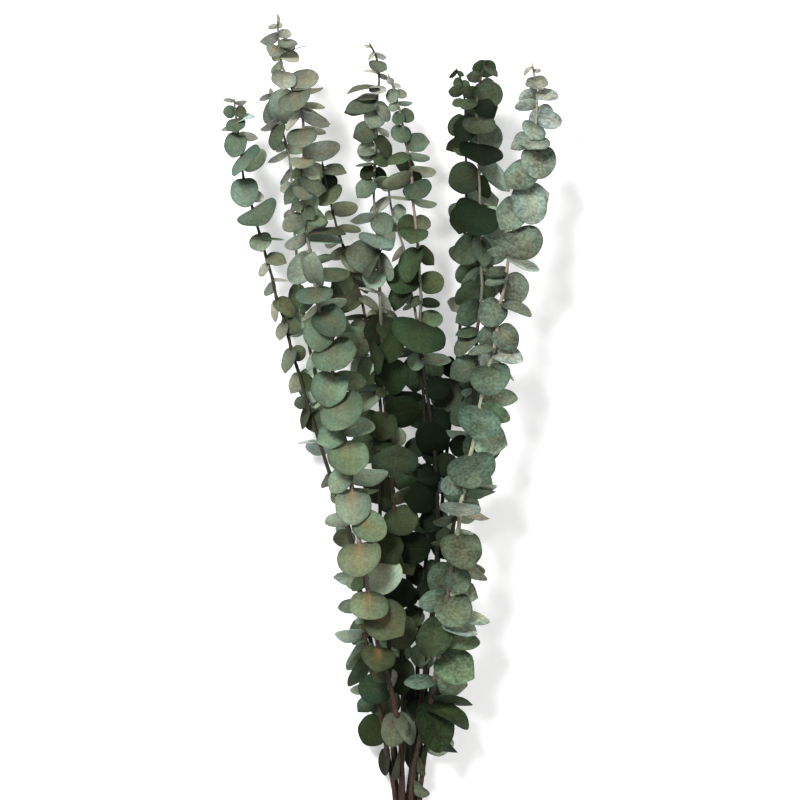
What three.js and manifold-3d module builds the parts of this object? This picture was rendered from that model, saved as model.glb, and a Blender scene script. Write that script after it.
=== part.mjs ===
// A bunch of cut, preserved round-leaf eucalyptus foliage, lying on its back.
// Ten leafy stems run side by side along Y: tips at +Y, cut ends at -Y.
// Each stem grew as one piece with its leaves, so each is one solid.
// Units are millimetres, +Z is up, the lowest leaves and stems touch Z = 0.
import * as THREE from 'three';
import { mergeVertices } from 'three/addons/utils/BufferGeometryUtils.js';
import Module from 'manifold-3d';

// ---------------------------------------------------------------- dimensions
const LEAF_THICKNESS = 1.2;        // large and middling leaves, at the thickest point
const BUD_LEAF_THICKNESS = 1.0;    // small leaves, at the thickest point
const LEAF_BASE = 1.0;             // width of a leaf where it joins the stem
const LEAF_HEEL = 0.5;             // how far a leaf starts behind the stem's centre line
const THICKEST = 0.36;             // where along a leaf it is thickest, as a share of its length
const BIG_LEAF = 28;               // leaves at least this long get the fuller outline
const BUD_LEAF = 10;               // leaves shorter than this get the simple outline
const ROD_SIDES = 5;               // facets round a stem
const SEGMENTS_PER_SPAN = 1;       // stem rings between two of its control points

// Moves the traced layout so that its box stands centred on the origin.
const OFFSET = [7.234, 47.292, -1.049];

// Stem control points [x, y, z] from tip to cut end, a radius at each, and the
// leaves: [place along the stem in control points, yaw, pitch, roll (degrees),
// length, width, arch, cup].
const STEMS = [
  {
    name: 'leafy_stem_01',
    color: 0x6f8a76,
    points: [[-127.0, 231.1, 44.0], [-124.9, 210.7, 42.0], [-121.9, 190.2, 40.0], [-119.7, 168.8, 38.0], [-113.6, 148.2, 37.0], [-108.3, 129.1, 36.0], [-103.0, 110.7, 35.0], [-97.7, 91.5, 34.0], [-94.6, 76.9, 33.0], [-88.5, 60.0, 32.0], [-83.9, 40.0, 31.0], [-77.8, 20.0, 30.0], [-70.1, -6.9, 29.0], [-57.1, -47.8, 27.0], [-46.3, -81.0, 26.0], [-37.0, -111.9, 26.0], [-32.4, -138.9, 26.0], [-29.3, -169.9, 25.0], [-23.2, -204.7, 24.0], [-15.5, -239.7, 22.0], [-10.1, -271.1, 18.0], [-3.9, -310.7, 12.0], [-4.7, -349.9, 9.5], [-5.4, -371.9, 8.0]],
    radii: [0.55, 0.81, 0.88, 0.94, 0.99, 1.04, 1.09, 1.13, 1.17, 1.21, 1.25, 1.29, 1.35, 1.44, 1.50, 1.57, 1.62, 1.68, 1.74, 1.81, 1.86, 1.93, 2.00, 2.04],
    leaves: [
      [0.12, 173.1, 10.0, -60.6, 8.9, 6.2, -0.039, -0.010],
      [0.19, 9.4, 10.0, 68.7, 9.8, 8.4, 0.064, 0.044],
      [0.50, -177.7, 11.4, -11.4, 9.7, 10.2, 0.043, -0.005],
      [0.50, -2.5, 11.4, 11.4, 9.0, 9.4, 0.042, 0.020],
      [0.88, 14.1, 10.0, -61.2, 14.8, 12.7, 0.060, 0.059],
      [0.75, -90.7, 33.9, 11.4, 14.5, 15.6, 0.028, -0.026],
      [1.19, 179.8, -10.0, 61.3, 13.0, 11.2, 0.046, 0.053],
      [1.31, -102.0, 10.0, -0.0, 19.6, 16.9, 0.046, -0.008],
      [1.38, -8.5, -10.0, 62.4, 15.4, 13.2, 0.030, -0.012],
      [2.12, -54.6, 62.6, 11.4, 27.6, 29.7, -0.012, -0.016],
      [2.94, -85.5, 10.0, 0.0, 23.2, 21.5, 0.064, 0.046],
      [3.62, 0.2, -10.0, -24.9, 11.8, 10.2, 0.057, 0.019],
      [4.06, -48.4, 56.7, -11.4, 30.6, 32.9, 0.064, 0.024],
      [5.06, -79.6, 24.9, 11.4, 16.8, 18.0, 0.039, -0.016],
      [5.25, -4.8, 10.0, -78.7, 18.2, 15.7, -0.023, 0.023],
      [6.06, -14.9, 10.0, -41.1, 16.6, 14.3, 0.052, -0.016],
      [6.31, -127.6, -10.0, 47.4, 11.9, 10.2, 0.032, -0.021],
      [6.94, -1.5, -10.0, -72.7, 12.0, 10.3, 0.031, -0.003],
      [7.06, -121.4, -10.0, -49.9, 12.5, 10.7, 0.053, 0.046],
      [7.94, -43.1, 10.0, -35.1, 18.6, 16.0, 0.065, -0.017],
      [8.00, -95.2, -10.0, 62.2, 17.3, 14.8, 0.066, -0.014],
      [9.00, -104.7, 10.0, 40.6, 15.4, 12.2, 0.052, 0.004],
      [9.00, -28.6, 22.0, -6.1, 15.2, 12.4, 0.032, 0.049],
      [9.56, 23.3, -10.2, -63.9, 14.3, 12.3, 0.047, 0.038],
      [10.00, -100.9, 10.0, 52.7, 20.7, 17.8, 0.039, -0.019],
      [10.06, -28.6, -11.4, -11.4, 12.1, 12.6, 0.053, 0.017],
      [11.00, -111.8, 10.0, -41.9, 16.8, 14.5, 0.037, 0.032],
      [11.00, -45.0, -10.0, 19.1, 13.3, 11.4, -0.028, 0.052],
      [11.81, -163.3, 10.0, 0.0, 10.3, 10.0, 0.067, 0.038],
      [12.00, -108.4, -14.8, 61.9, 17.6, 14.7, 0.027, 0.043],
      [12.00, -70.2, -10.1, 30.5, 20.8, 17.9, -0.031, 0.016],
      [12.12, 33.6, 10.0, 70.7, 13.5, 11.7, 0.031, 0.003],
      [12.62, -177.6, -10.0, 78.3, 17.7, 15.2, -0.022, 0.022],
      [12.62, -111.7, -48.8, -7.1, 17.6, 18.7, -0.020, 0.010],
      [13.25, -116.6, -10.0, -53.5, 13.6, 11.7, 0.046, 0.051],
      [13.56, -90.6, -10.0, -47.9, 13.4, 11.5, 0.049, 0.049],
      [14.25, -155.8, 10.0, 60.8, 16.6, 14.2, 0.066, 0.009],
      [14.62, -115.9, -28.4, -11.4, 16.1, 17.3, 0.068, 0.043],
      [15.88, -176.3, -10.0, -49.0, 19.2, 16.5, 0.056, 0.057],
      [15.88, -110.3, -24.4, -20.5, 13.2, 14.8, 0.040, -0.025],
      [16.62, -170.9, 10.0, 44.8, 17.7, 15.2, -0.039, -0.020],
      [17.31, -179.4, 10.1, -46.9, 22.9, 16.9, 0.044, 0.029],
      [17.00, -111.8, -19.7, -14.0, 17.7, 14.3, 0.068, 0.027],
      [17.75, -117.3, -10.0, -59.8, 30.3, 26.1, 0.029, 0.007],
      [18.44, -168.3, 10.0, -56.5, 19.5, 16.8, 0.061, -0.020],
      [18.69, -138.7, -10.0, -35.5, 19.9, 17.1, -0.036, 0.017],
      [19.19, -122.6, -7.6, 11.0, 25.3, 23.6, 0.022, -0.028],
      [20.00, -96.6, -10.0, 58.3, 20.6, 17.7, 0.032, 0.021],
      [17.50, -118.9, -10.8, -58.4, 26.8, 25.3, 0.037, 0.007],
      [2.50, 30.5, -10.0, 45.1, 21.5, 18.5, 0.053, 0.032],
    ],
  },
  {
    name: 'leafy_stem_02',
    color: 0x8b9a80,
    points: [[-93.4, 293.0, 62.0], [-90.3, 258.0, 62.0], [-82.7, 238.3, 62.0], [-74.4, 217.1, 62.0], [-72.9, 185.9, 62.0], [-72.9, 151.8, 62.0], [-70.6, 125.2, 62.0], [-66.0, 102.5, 62.0], [-62.2, 72.1, 62.0], [-54.6, 37.9, 62.0], [-47.1, 0.0, 62.0], [-41.7, -31.1, 62.0], [-36.4, -67.6, 61.0], [-31.1, -106.4, 60.0], [-23.6, -148.3, 58.0], [-16.0, -190.6, 52.0], [-7.7, -218.1, 44.0], [-2.3, -244.3, 36.0], [0.8, -270.1, 26.0], [2.3, -306.7, 18.0], [3.1, -349.0, 15.5], [3.1, -381.1, 13.5]],
    radii: [0.55, 0.84, 0.90, 0.95, 1.03, 1.10, 1.16, 1.21, 1.27, 1.33, 1.40, 1.46, 1.53, 1.60, 1.67, 1.74, 1.79, 1.83, 1.87, 1.92, 1.99, 2.04],
    leaves: [
      [0.25, 89.3, 10.0, 73.3, 9.2, 7.9, 0.050, 0.031],
      [0.25, -168.4, 10.0, 33.0, 7.8, 5.4, -0.021, 0.018],
      [0.25, 10.7, 23.2, -11.4, 4.3, 4.6, 0.053, -0.013],
      [0.44, -157.1, 10.0, -62.8, 15.4, 13.3, -0.013, 0.056],
      [0.38, -11.8, 10.0, -26.4, 10.8, 9.3, 0.023, -0.001],
      [0.56, -8.1, 10.0, -54.7, 14.9, 14.1, -0.031, -0.002],
      [0.69, -133.2, 37.3, 13.2, 13.0, 14.0, 0.060, 0.039],
      [0.81, -23.7, 10.0, -39.8, 16.1, 13.8, 0.030, 0.027],
      [0.88, 20.2, 10.0, -81.1, 22.8, 19.6, 0.025, 0.027],
      [1.06, -134.0, 10.0, -52.5, 11.6, 10.0, 0.060, 0.035],
      [1.38, -93.6, 32.9, -11.4, 18.0, 19.4, 0.065, -0.028],
      [1.88, 9.5, 12.1, -32.1, 23.1, 19.7, 0.031, 0.055],
      [2.12, 2.5, -10.0, 81.4, 23.6, 20.3, 0.033, 0.029],
      [2.19, -75.1, 44.9, 11.4, 24.5, 26.3, 0.039, 0.030],
      [2.75, 0.1, -10.0, -65.8, 19.4, 16.7, 0.039, 0.019],
      [2.94, -26.4, 10.0, 73.2, 24.5, 21.0, 0.032, 0.011],
      [2.94, -129.1, 10.0, 65.3, 19.0, 16.3, 0.058, -0.003],
      [3.38, -96.0, 46.8, 11.4, 24.2, 23.2, 0.058, -0.018],
      [3.38, -11.9, -10.0, 69.6, 17.7, 15.2, -0.014, -0.006],
      [4.00, 15.5, 10.0, 58.6, 28.8, 24.8, 0.062, -0.013],
      [4.06, -102.9, 54.9, 11.4, 18.0, 19.4, 0.064, 0.034],
      [4.31, -143.6, -10.0, -25.0, 11.5, 10.0, -0.034, 0.044],
      [4.31, -29.1, -10.0, -35.4, 14.1, 12.1, 0.039, 0.017],
      [4.50, -127.3, -10.0, -56.1, 25.3, 21.8, 0.030, 0.018],
      [4.44, -53.2, 10.0, -39.0, 19.3, 16.6, 0.065, -0.013],
      [4.69, -97.3, 45.7, -11.4, 15.8, 17.0, 0.052, 0.060],
      [4.88, -45.1, -10.0, -0.0, 14.3, 12.9, -0.037, 0.006],
      [5.06, -146.9, 10.0, 45.6, 12.0, 9.8, -0.018, 0.038],
      [5.19, -52.8, 10.0, -0.0, 12.3, 10.6, 0.042, 0.008],
      [5.50, -154.5, 10.0, 27.4, 18.9, 16.2, 0.062, 0.005],
      [5.62, 1.8, -10.0, -50.2, 16.6, 14.2, 0.056, 0.045],
      [6.00, -0.0, 10.0, -74.7, 30.1, 25.8, 0.039, 0.038],
      [6.19, -3.6, -10.0, -72.9, 27.1, 23.3, 0.027, 0.044],
      [6.00, -151.4, 10.0, -56.7, 19.3, 16.6, 0.026, 0.059],
      [6.56, -172.8, -10.0, 68.3, 9.5, 8.2, 0.029, 0.010],
      [6.75, -130.6, 10.0, -29.9, 25.5, 21.9, -0.018, -0.010],
      [6.94, 20.2, -10.0, -59.8, 17.5, 15.1, 0.023, -0.027],
      [7.25, 1.9, 10.0, 65.4, 27.6, 23.7, 0.036, 0.011],
      [7.56, -94.5, 56.4, 11.4, 26.6, 28.6, -0.042, 0.052],
      [7.69, -128.9, -10.0, 53.9, 21.0, 18.1, 0.040, -0.019],
      [8.00, 9.8, 10.0, 64.7, 22.7, 19.5, 0.045, -0.014],
      [8.06, -135.3, 10.0, -58.3, 16.8, 14.4, 0.044, 0.030],
      [8.25, -93.4, 15.5, -2.5, 28.6, 24.3, 0.046, 0.016],
      [8.31, -20.6, -10.0, -61.1, 27.4, 23.5, 0.047, 0.041],
      [8.88, -53.7, 42.3, -11.4, 31.7, 34.1, 0.029, -0.020],
      [9.00, -139.2, -10.0, 61.2, 22.4, 20.5, 0.067, 0.057],
      [9.44, -99.0, 11.4, 11.4, 27.4, 27.9, 0.045, 0.052],
      [9.56, -8.0, -10.0, 45.2, 25.0, 21.5, 0.036, -0.024],
      [9.94, -70.6, 43.4, 11.4, 33.1, 35.6, -0.026, 0.038],
      [10.75, -154.5, 10.0, 10.2, 22.5, 19.3, 0.058, 0.046],
      [10.75, 9.8, -10.0, -47.4, 24.8, 21.3, 0.057, -0.015],
      [11.00, -78.4, 27.1, -11.4, 29.6, 31.7, -0.017, 0.024],
      [11.62, -131.6, -5.8, 29.9, 22.2, 19.3, 0.067, 0.016],
      [11.69, -3.2, -14.4, 55.3, 29.9, 25.3, 0.068, 0.042],
      [12.00, -4.2, -10.0, 75.3, 20.9, 18.0, 0.060, 0.028],
      [12.00, -86.8, 10.0, -0.0, 27.8, 27.3, 0.042, 0.032],
      [12.50, -157.6, -30.0, -52.0, 27.3, 21.0, 0.037, -0.011],
      [12.56, -32.6, 10.0, -0.0, 26.8, 23.5, 0.058, 0.036],
      [13.06, -89.2, 40.6, 11.4, 31.7, 34.1, 0.068, 0.007],
      [13.62, -124.2, -10.0, -41.9, 16.6, 14.3, 0.046, -0.022],
      [13.94, -84.3, 42.5, -11.4, 27.4, 29.5, -0.029, -0.026],
      [14.38, -162.8, -10.0, 56.2, 14.3, 12.3, 0.052, -0.023],
      [14.94, -93.4, 44.7, -11.4, 24.6, 26.4, 0.031, 0.049],
      [15.69, -175.7, -11.6, 11.4, 11.6, 12.5, -0.026, 0.034],
      [16.88, -99.4, 11.8, -17.9, 25.5, 21.8, 0.060, 0.026],
      [16.94, -58.2, -10.0, -56.2, 25.7, 22.1, 0.054, 0.007],
      [18.06, -109.0, 10.0, -68.5, 24.5, 21.1, 0.040, 0.004],
      [0.62, -60.2, -67.3, -2.4, 23.8, 20.5, 0.055, 0.049],
      [2.81, -30.7, -10.2, 70.0, 26.3, 24.9, 0.043, 0.014],
      [8.12, -45.1, 30.1, -3.7, 29.1, 24.3, 0.045, 0.057],
      [7.50, 90.4, 34.8, -36.1, 29.4, 19.4, 0.068, -0.012],
      [14.25, -38.4, 11.2, -11.9, 31.7, 32.7, 0.036, 0.044],
    ],
  },
  {
    name: 'leafy_stem_03',
    color: 0x4f6658,
    points: [[-100.2, 240.5, 29.0], [-97.9, 228.2, 28.0], [-91.8, 212.0, 28.0], [-86.4, 191.3, 27.0], [-84.1, 175.9, 27.0], [-82.6, 146.6, 26.0], [-80.3, 115.8, 25.0], [-77.2, 85.0, 24.0], [-71.1, 46.4, 22.0], [-61.9, 3.9, 21.0], [-52.6, -38.7, 20.0], [-43.4, -81.3, 19.0], [-35.6, -120.1, 18.0], [-27.9, -162.7, 17.0], [-18.6, -205.7, 13.0], [-9.3, -249.0, 8.0], [-1.6, -284.3, 5.5], [3.1, -311.8, 4.2], [3.1, -350.9, 3.2], [2.7, -365.8, 2.9]],
    radii: [0.55, 0.78, 0.84, 0.90, 0.94, 1.02, 1.10, 1.17, 1.25, 1.35, 1.43, 1.52, 1.59, 1.68, 1.76, 1.83, 1.90, 1.95, 2.01, 2.04],
    leaves: [
      [0.50, 98.8, 10.0, 43.7, 6.1, 4.3, 0.058, 0.000],
      [0.50, -160.5, 10.0, -63.7, 10.1, 8.7, -0.023, 0.041],
      [0.62, 26.0, 10.0, 48.2, 8.3, 5.8, 0.056, 0.005],
      [1.00, -109.3, 1.7, -42.0, 16.3, 14.5, 0.049, 0.030],
      [1.75, -146.7, -10.0, -71.3, 16.8, 14.5, 0.049, -0.013],
      [1.44, -21.7, 10.0, 39.5, 11.6, 10.0, 0.035, 0.060],
      [1.94, -101.4, 10.0, 52.2, 21.9, 18.9, 0.042, 0.022],
      [3.00, -151.2, -10.0, -75.5, 17.9, 15.4, 0.064, -0.006],
      [2.62, -134.5, -10.0, -48.6, 10.8, 9.3, 0.045, -0.023],
      [3.88, -122.6, -16.2, -72.3, 15.2, 12.7, 0.036, -0.012],
      [4.38, -155.4, -9.7, 0.0, 10.1, 9.3, -0.037, 0.013],
      [5.00, -138.4, -10.0, -40.5, 9.4, 8.1, 0.043, 0.019],
      [6.88, -96.9, -10.0, 48.5, 21.7, 18.7, 0.036, 0.039],
      [9.12, -113.2, -10.0, 18.0, 18.9, 16.3, -0.034, 0.010],
      [11.50, -132.4, -49.6, 11.4, 16.2, 17.4, 0.054, 0.028],
      [13.25, -125.0, -10.0, 27.9, 20.4, 17.6, 0.052, 0.013],
      [14.38, -76.1, -0.0, 1.0, 26.4, 24.9, 0.051, -0.012],
      [9.06, 119.6, -10.0, 0.0, 26.6, 24.8, 0.055, 0.035],
      [5.31, 0.6, -10.0, 0.0, 26.8, 24.7, 0.046, -0.008],
      [1.88, 74.5, 34.4, -2.1, 30.0, 24.7, 0.058, -0.028],
      [7.50, -134.4, -10.0, 0.0, 21.9, 20.9, -0.034, -0.007],
      [2.81, 0.7, -10.0, 47.5, 17.3, 14.9, -0.019, -0.020],
    ],
  },
  {
    name: 'leafy_stem_04',
    color: 0x5a6244,
    points: [[-59.8, 183.9, 42.0], [-57.5, 170.1, 42.0], [-52.9, 150.1, 42.0], [-48.3, 131.8, 42.0], [-42.9, 116.5, 41.0], [-36.8, 96.6, 40.0], [-29.9, 78.2, 40.0], [-26.1, 59.8, 39.0], [-21.5, 33.8, 38.0], [-16.9, 9.2, 37.0], [-14.6, -9.2, 37.0], [-14.6, -38.4, 37.0], [-15.4, -76.8, 37.0], [-15.3, -107.4, 38.0], [-14.6, -125.1, 38.0], [-11.5, -152.0, 37.0], [-9.2, -169.1, 35.0], [-7.7, -206.5, 29.0], [-5.4, -239.8, 21.0], [-5.4, -271.7, 13.5], [-2.3, -311.6, 5.4], [-2.3, -350.9, 3.2], [-2.3, -387.7, 2.7]],
    radii: [0.55, 0.79, 0.86, 0.92, 0.96, 1.02, 1.07, 1.11, 1.18, 1.24, 1.28, 1.35, 1.43, 1.50, 1.53, 1.59, 1.63, 1.70, 1.76, 1.82, 1.90, 1.97, 2.04],
    leaves: [
      [0.62, -5.7, 10.0, -50.6, 18.3, 15.7, 0.052, 0.057],
      [0.88, -45.3, -10.0, 0.0, 12.7, 11.5, 0.035, -0.024],
      [1.50, -65.2, 57.6, 11.4, 21.1, 22.7, 0.059, -0.012],
      [2.25, 7.2, 10.0, 51.5, 20.0, 17.2, -0.022, 0.014],
      [2.31, -133.5, -11.4, -11.4, 7.8, 7.8, 0.053, 0.039],
      [3.00, -9.5, 10.0, -64.9, 18.9, 16.3, 0.037, 0.009],
      [3.38, -144.2, -10.0, 26.4, 13.9, 12.0, 0.027, 0.028],
      [3.94, -62.1, 16.9, -42.8, 23.0, 19.8, 0.027, -0.005],
      [4.06, -146.6, -10.0, -43.4, 13.5, 11.6, 0.021, -0.015],
      [5.00, -134.4, -4.8, 0.0, 20.2, 17.6, 0.021, -0.015],
      [4.94, -21.7, -11.8, -52.1, 18.2, 16.2, 0.060, 0.026],
      [5.94, -135.1, 10.0, 56.1, 16.0, 13.8, -0.025, -0.016],
      [5.94, -37.7, 10.0, -62.2, 17.2, 14.8, 0.065, -0.026],
      [6.81, -172.9, 10.0, -76.9, 19.7, 16.9, -0.030, -0.011],
      [6.88, 7.3, -35.2, 68.4, 24.3, 18.7, 0.064, -0.002],
      [7.00, -135.0, -11.4, 11.4, 15.5, 15.6, -0.037, 0.059],
      [7.12, -46.4, -18.9, 6.5, 21.5, 20.1, 0.053, 0.021],
      [8.06, -102.9, 10.0, -16.4, 22.3, 19.2, 0.050, 0.016],
      [8.12, -145.2, -10.0, 24.8, 21.6, 18.6, 0.056, 0.008],
      [9.00, -171.3, -10.0, 69.9, 20.5, 19.4, 0.058, -0.023],
      [13.94, -84.3, 36.8, 11.4, 30.6, 32.9, 0.058, 0.037],
      [14.94, -6.1, -10.0, 22.3, 13.5, 11.6, 0.068, -0.012],
      [17.00, -114.4, -10.0, -0.0, 18.9, 17.0, 0.034, 0.047],
      [17.50, 60.3, 7.6, -20.9, 26.7, 26.5, 0.063, 0.046],
      [7.50, -165.5, -5.5, -9.0, 26.2, 24.9, 0.062, -0.015],
      [10.94, 179.5, -10.0, 0.0, 26.5, 24.6, -0.026, 0.055],
      [5.62, -150.5, -8.1, -0.5, 26.6, 24.5, 0.034, -0.000],
      [9.06, -147.6, -7.0, 48.7, 26.3, 23.3, -0.037, 0.030],
      [8.12, 18.0, 73.2, -8.1, 30.1, 24.8, 0.062, -0.013],
      [6.88, -15.7, -25.5, 11.8, 28.6, 25.1, 0.067, -0.005],
      [0.31, -118.3, -15.6, -14.3, 27.1, 25.3, 0.052, 0.046],
      [12.81, -60.0, 21.9, 1.1, 28.1, 24.6, 0.049, 0.013],
      [10.62, 149.4, -3.6, 16.6, 26.1, 25.6, 0.040, -0.003],
      [15.31, 45.0, 16.0, 15.1, 27.1, 25.5, -0.014, -0.029],
      [17.50, 171.3, 20.0, -3.9, 27.7, 24.8, 0.065, 0.003],
      [5.00, -32.2, -60.4, -47.0, 29.3, 22.5, 0.037, -0.026],
    ],
  },
  {
    name: 'leafy_stem_05',
    color: 0x5f7a6c,
    points: [[-23.7, 273.2, 50.0], [-19.1, 264.1, 50.0], [-16.8, 254.9, 50.0], [-16.0, 242.7, 50.0], [-17.6, 227.5, 49.0], [-18.3, 206.2, 49.0], [-19.1, 183.3, 48.0], [-19.9, 163.5, 48.0], [-19.1, 140.6, 47.0], [-16.8, 122.3, 46.0], [-16.1, 99.5, 45.0], [-15.3, 80.4, 44.0], [-14.5, 61.3, 43.0], [-13.0, 38.3, 42.0], [-12.3, 15.3, 41.0], [-11.5, -3.8, 40.0], [-8.4, -30.7, 39.0], [-6.1, -58.4, 37.0], [-4.6, -83.0, 35.0], [-2.3, -111.5, 33.0], [0.0, -154.1, 29.0], [1.5, -193.0, 25.0], [2.3, -232.2, 20.0], [1.6, -271.6, 14.0], [0.4, -310.9, 10.5], [0.4, -350.0, 9.2], [0.0, -376.5, 8.4]],
    radii: [0.55, 0.76, 0.80, 0.84, 0.88, 0.94, 0.99, 1.04, 1.09, 1.13, 1.18, 1.22, 1.26, 1.31, 1.36, 1.39, 1.44, 1.50, 1.54, 1.59, 1.67, 1.74, 1.80, 1.87, 1.93, 2.00, 2.04],
    leaves: [
      [14.88, 25.6, -0.6, 1.9, 13.0, 13.8, 0.029, 0.010],
      [15.25, -101.7, 17.3, -0.9, 22.9, 21.5, -0.020, 0.031],
      [16.00, -142.8, 46.0, 30.3, 17.8, 14.2, 0.040, 0.041],
      [17.00, 78.7, 44.2, 11.4, 32.8, 35.2, -0.016, 0.032],
      [17.06, 17.4, -10.0, 40.5, 21.1, 18.2, -0.020, -0.006],
      [18.00, -59.0, 25.3, -11.4, 24.8, 26.7, -0.016, -0.019],
      [18.06, 147.9, -12.0, -32.8, 15.0, 12.8, 0.022, 0.046],
      [19.00, 173.3, 10.0, 66.3, 13.4, 11.5, -0.020, 0.025],
      [19.06, -132.9, -15.7, 11.4, 13.1, 14.1, 0.051, 0.048],
      [0.44, 170.9, 10.0, 44.5, 6.1, 4.3, 0.034, -0.023],
      [0.81, -118.7, 10.0, 48.2, 8.2, 5.7, 0.034, -0.024],
      [1.00, -18.4, 10.0, 63.1, 9.8, 8.4, 0.031, 0.053],
      [1.56, -81.5, 36.8, -20.1, 13.0, 14.6, 0.049, -0.023],
      [2.50, 174.9, 10.0, 70.2, 13.1, 11.2, 0.064, 0.042],
      [2.56, -26.2, -20.4, 46.2, 8.3, 5.5, -0.030, 0.048],
      [3.31, -169.0, 10.0, 74.0, 25.7, 22.1, 0.046, 0.038],
      [3.19, -104.8, 47.1, 11.4, 12.3, 13.2, -0.020, 0.012],
      [3.81, -179.2, -10.0, 61.1, 16.6, 14.2, 0.068, -0.026],
      [4.06, -164.7, 10.0, 50.0, 24.9, 21.4, 0.028, 0.021],
      [4.00, -57.7, -6.7, -48.5, 17.3, 15.0, 0.049, -0.001],
      [4.31, -107.7, 21.0, -11.3, 16.9, 17.1, 0.058, 0.042],
      [4.94, -156.9, 10.0, -0.0, 19.4, 17.6, 0.030, 0.014],
      [4.94, -31.4, -18.1, 67.7, 12.1, 10.1, -0.031, -0.018],
      [5.25, -53.4, -7.0, -51.2, 19.7, 17.1, 0.057, -0.006],
      [5.69, -169.7, 10.0, 49.4, 13.6, 11.7, 0.047, 0.020],
      [5.75, -49.6, 9.2, -31.0, 14.2, 12.5, -0.037, -0.021],
      [6.12, -169.8, 10.0, 73.5, 15.7, 13.5, -0.017, 0.052],
      [6.31, -149.2, -10.0, 19.6, 13.2, 11.4, 0.037, 0.012],
      [6.31, -48.5, -16.6, 26.6, 12.5, 10.3, 0.024, 0.014],
      [6.81, -135.0, 0.2, 30.1, 18.4, 16.8, 0.057, -0.017],
      [6.88, -8.1, -4.8, 58.7, 18.6, 16.2, -0.041, -0.020],
      [8.06, -170.2, 10.0, -66.2, 19.8, 17.0, -0.021, -0.029],
      [8.00, -46.7, 10.0, -5.1, 18.1, 17.6, 0.028, 0.030],
      [8.81, -95.9, 64.2, -11.4, 26.1, 28.1, 0.028, -0.004],
      [9.38, -114.1, 32.5, 68.1, 26.7, 20.5, 0.031, 0.012],
      [9.50, -60.2, 10.0, 53.5, 22.4, 19.3, 0.049, -0.027],
      [10.06, -122.6, 19.7, 15.5, 16.7, 18.3, 0.058, 0.006],
      [10.94, 166.4, -8.4, 80.0, 17.2, 15.3, -0.024, 0.053],
      [10.94, -56.2, 10.0, 58.8, 15.5, 13.3, 0.057, -0.017],
      [11.94, -108.5, -5.9, -12.6, 21.7, 20.4, -0.030, -0.017],
      [12.00, -53.0, -1.1, -6.9, 19.1, 17.0, 0.044, 0.058],
      [13.06, -73.7, -5.4, 50.3, 25.6, 21.6, -0.016, -0.021],
      [13.00, -10.7, 7.9, 64.8, 16.5, 15.7, -0.022, -0.027],
      [14.50, -26.6, -2.3, 0.3, 13.4, 12.3, 0.051, 0.021],
      [14.44, -149.7, 42.2, 11.4, 8.7, 9.4, 0.048, 0.031],
      [15.75, -39.2, -13.0, 21.0, 16.3, 16.4, -0.017, 0.007],
      [16.12, 173.7, 19.4, 38.5, 11.0, 7.8, -0.039, -0.006],
      [17.75, 17.5, -17.2, 51.5, 20.7, 17.3, -0.040, 0.004],
      [19.00, -64.2, -10.0, -37.1, 26.9, 23.1, 0.040, 0.038],
      [20.00, 29.1, -12.1, 11.4, 16.2, 17.3, 0.042, 0.009],
      [21.00, -135.0, -41.8, 11.4, 14.6, 15.8, -0.014, 0.021],
      [19.06, -0.9, -3.6, 0.5, 26.1, 24.6, 0.036, 0.044],
      [20.31, -89.5, -0.2, -0.5, 26.2, 24.7, 0.061, -0.028],
      [17.50, 165.4, -34.5, -12.2, 29.9, 25.2, 0.033, 0.000],
      [9.69, 165.0, 21.0, 1.6, 27.8, 24.5, -0.012, -0.005],
      [14.38, 57.8, 24.2, -4.0, 28.4, 24.6, 0.046, -0.011],
      [15.31, 13.4, -3.2, 27.5, 26.3, 27.0, 0.026, -0.028],
      [20.31, -164.6, -10.0, -0.0, 26.6, 24.7, -0.034, -0.018],
      [17.19, 29.6, -5.9, 29.7, 26.4, 27.0, 0.043, -0.029],
      [5.94, 134.7, -13.7, 9.9, 16.8, 16.3, 0.039, 0.030],
      [21.25, 120.5, -10.2, -2.9, 26.9, 24.8, 0.046, 0.005],
      [4.06, -166.9, -9.4, 48.9, 26.3, 23.3, 0.061, -0.027],
      [8.75, -0.5, -63.4, 1.0, 29.3, 24.5, 0.030, 0.015],
      [12.69, -39.9, 50.7, 8.9, 29.1, 24.8, 0.033, -0.010],
      [8.75, -0.3, -61.5, 0.8, 29.3, 24.5, 0.033, 0.000],
    ],
  },
  {
    name: 'leafy_stem_06',
    color: 0x35502f,
    points: [[-9.2, 248.8, 50.0], [-5.3, 239.7, 50.0], [-3.1, 232.0, 50.0], [0.0, 219.8, 50.0], [3.1, 204.5, 50.0], [6.1, 187.0, 50.0], [9.2, 168.0, 49.0], [9.9, 152.7, 49.0], [11.5, 139.0, 48.0], [13.8, 116.2, 47.0], [15.3, 91.8, 46.0], [16.1, 74.2, 46.0], [15.3, 59.6, 46.0], [16.8, 32.9, 44.0], [19.9, 11.5, 41.0], [23.8, -15.3, 38.0], [26.9, -42.3, 36.0], [28.4, -69.2, 34.0], [29.2, -100.0, 32.0], [27.0, -138.8, 28.0], [23.9, -169.8, 26.0], [20.9, -197.1, 23.0], [16.3, -232.3, 19.0], [10.9, -271.4, 15.5], [6.2, -310.8, 11.5], [6.2, -349.9, 9.7], [6.2, -368.6, 9.2]],
    radii: [0.55, 0.77, 0.79, 0.84, 0.88, 0.93, 0.98, 1.02, 1.05, 1.11, 1.17, 1.21, 1.24, 1.29, 1.34, 1.40, 1.45, 1.50, 1.56, 1.64, 1.69, 1.74, 1.80, 1.87, 1.94, 2.01, 2.04],
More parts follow.
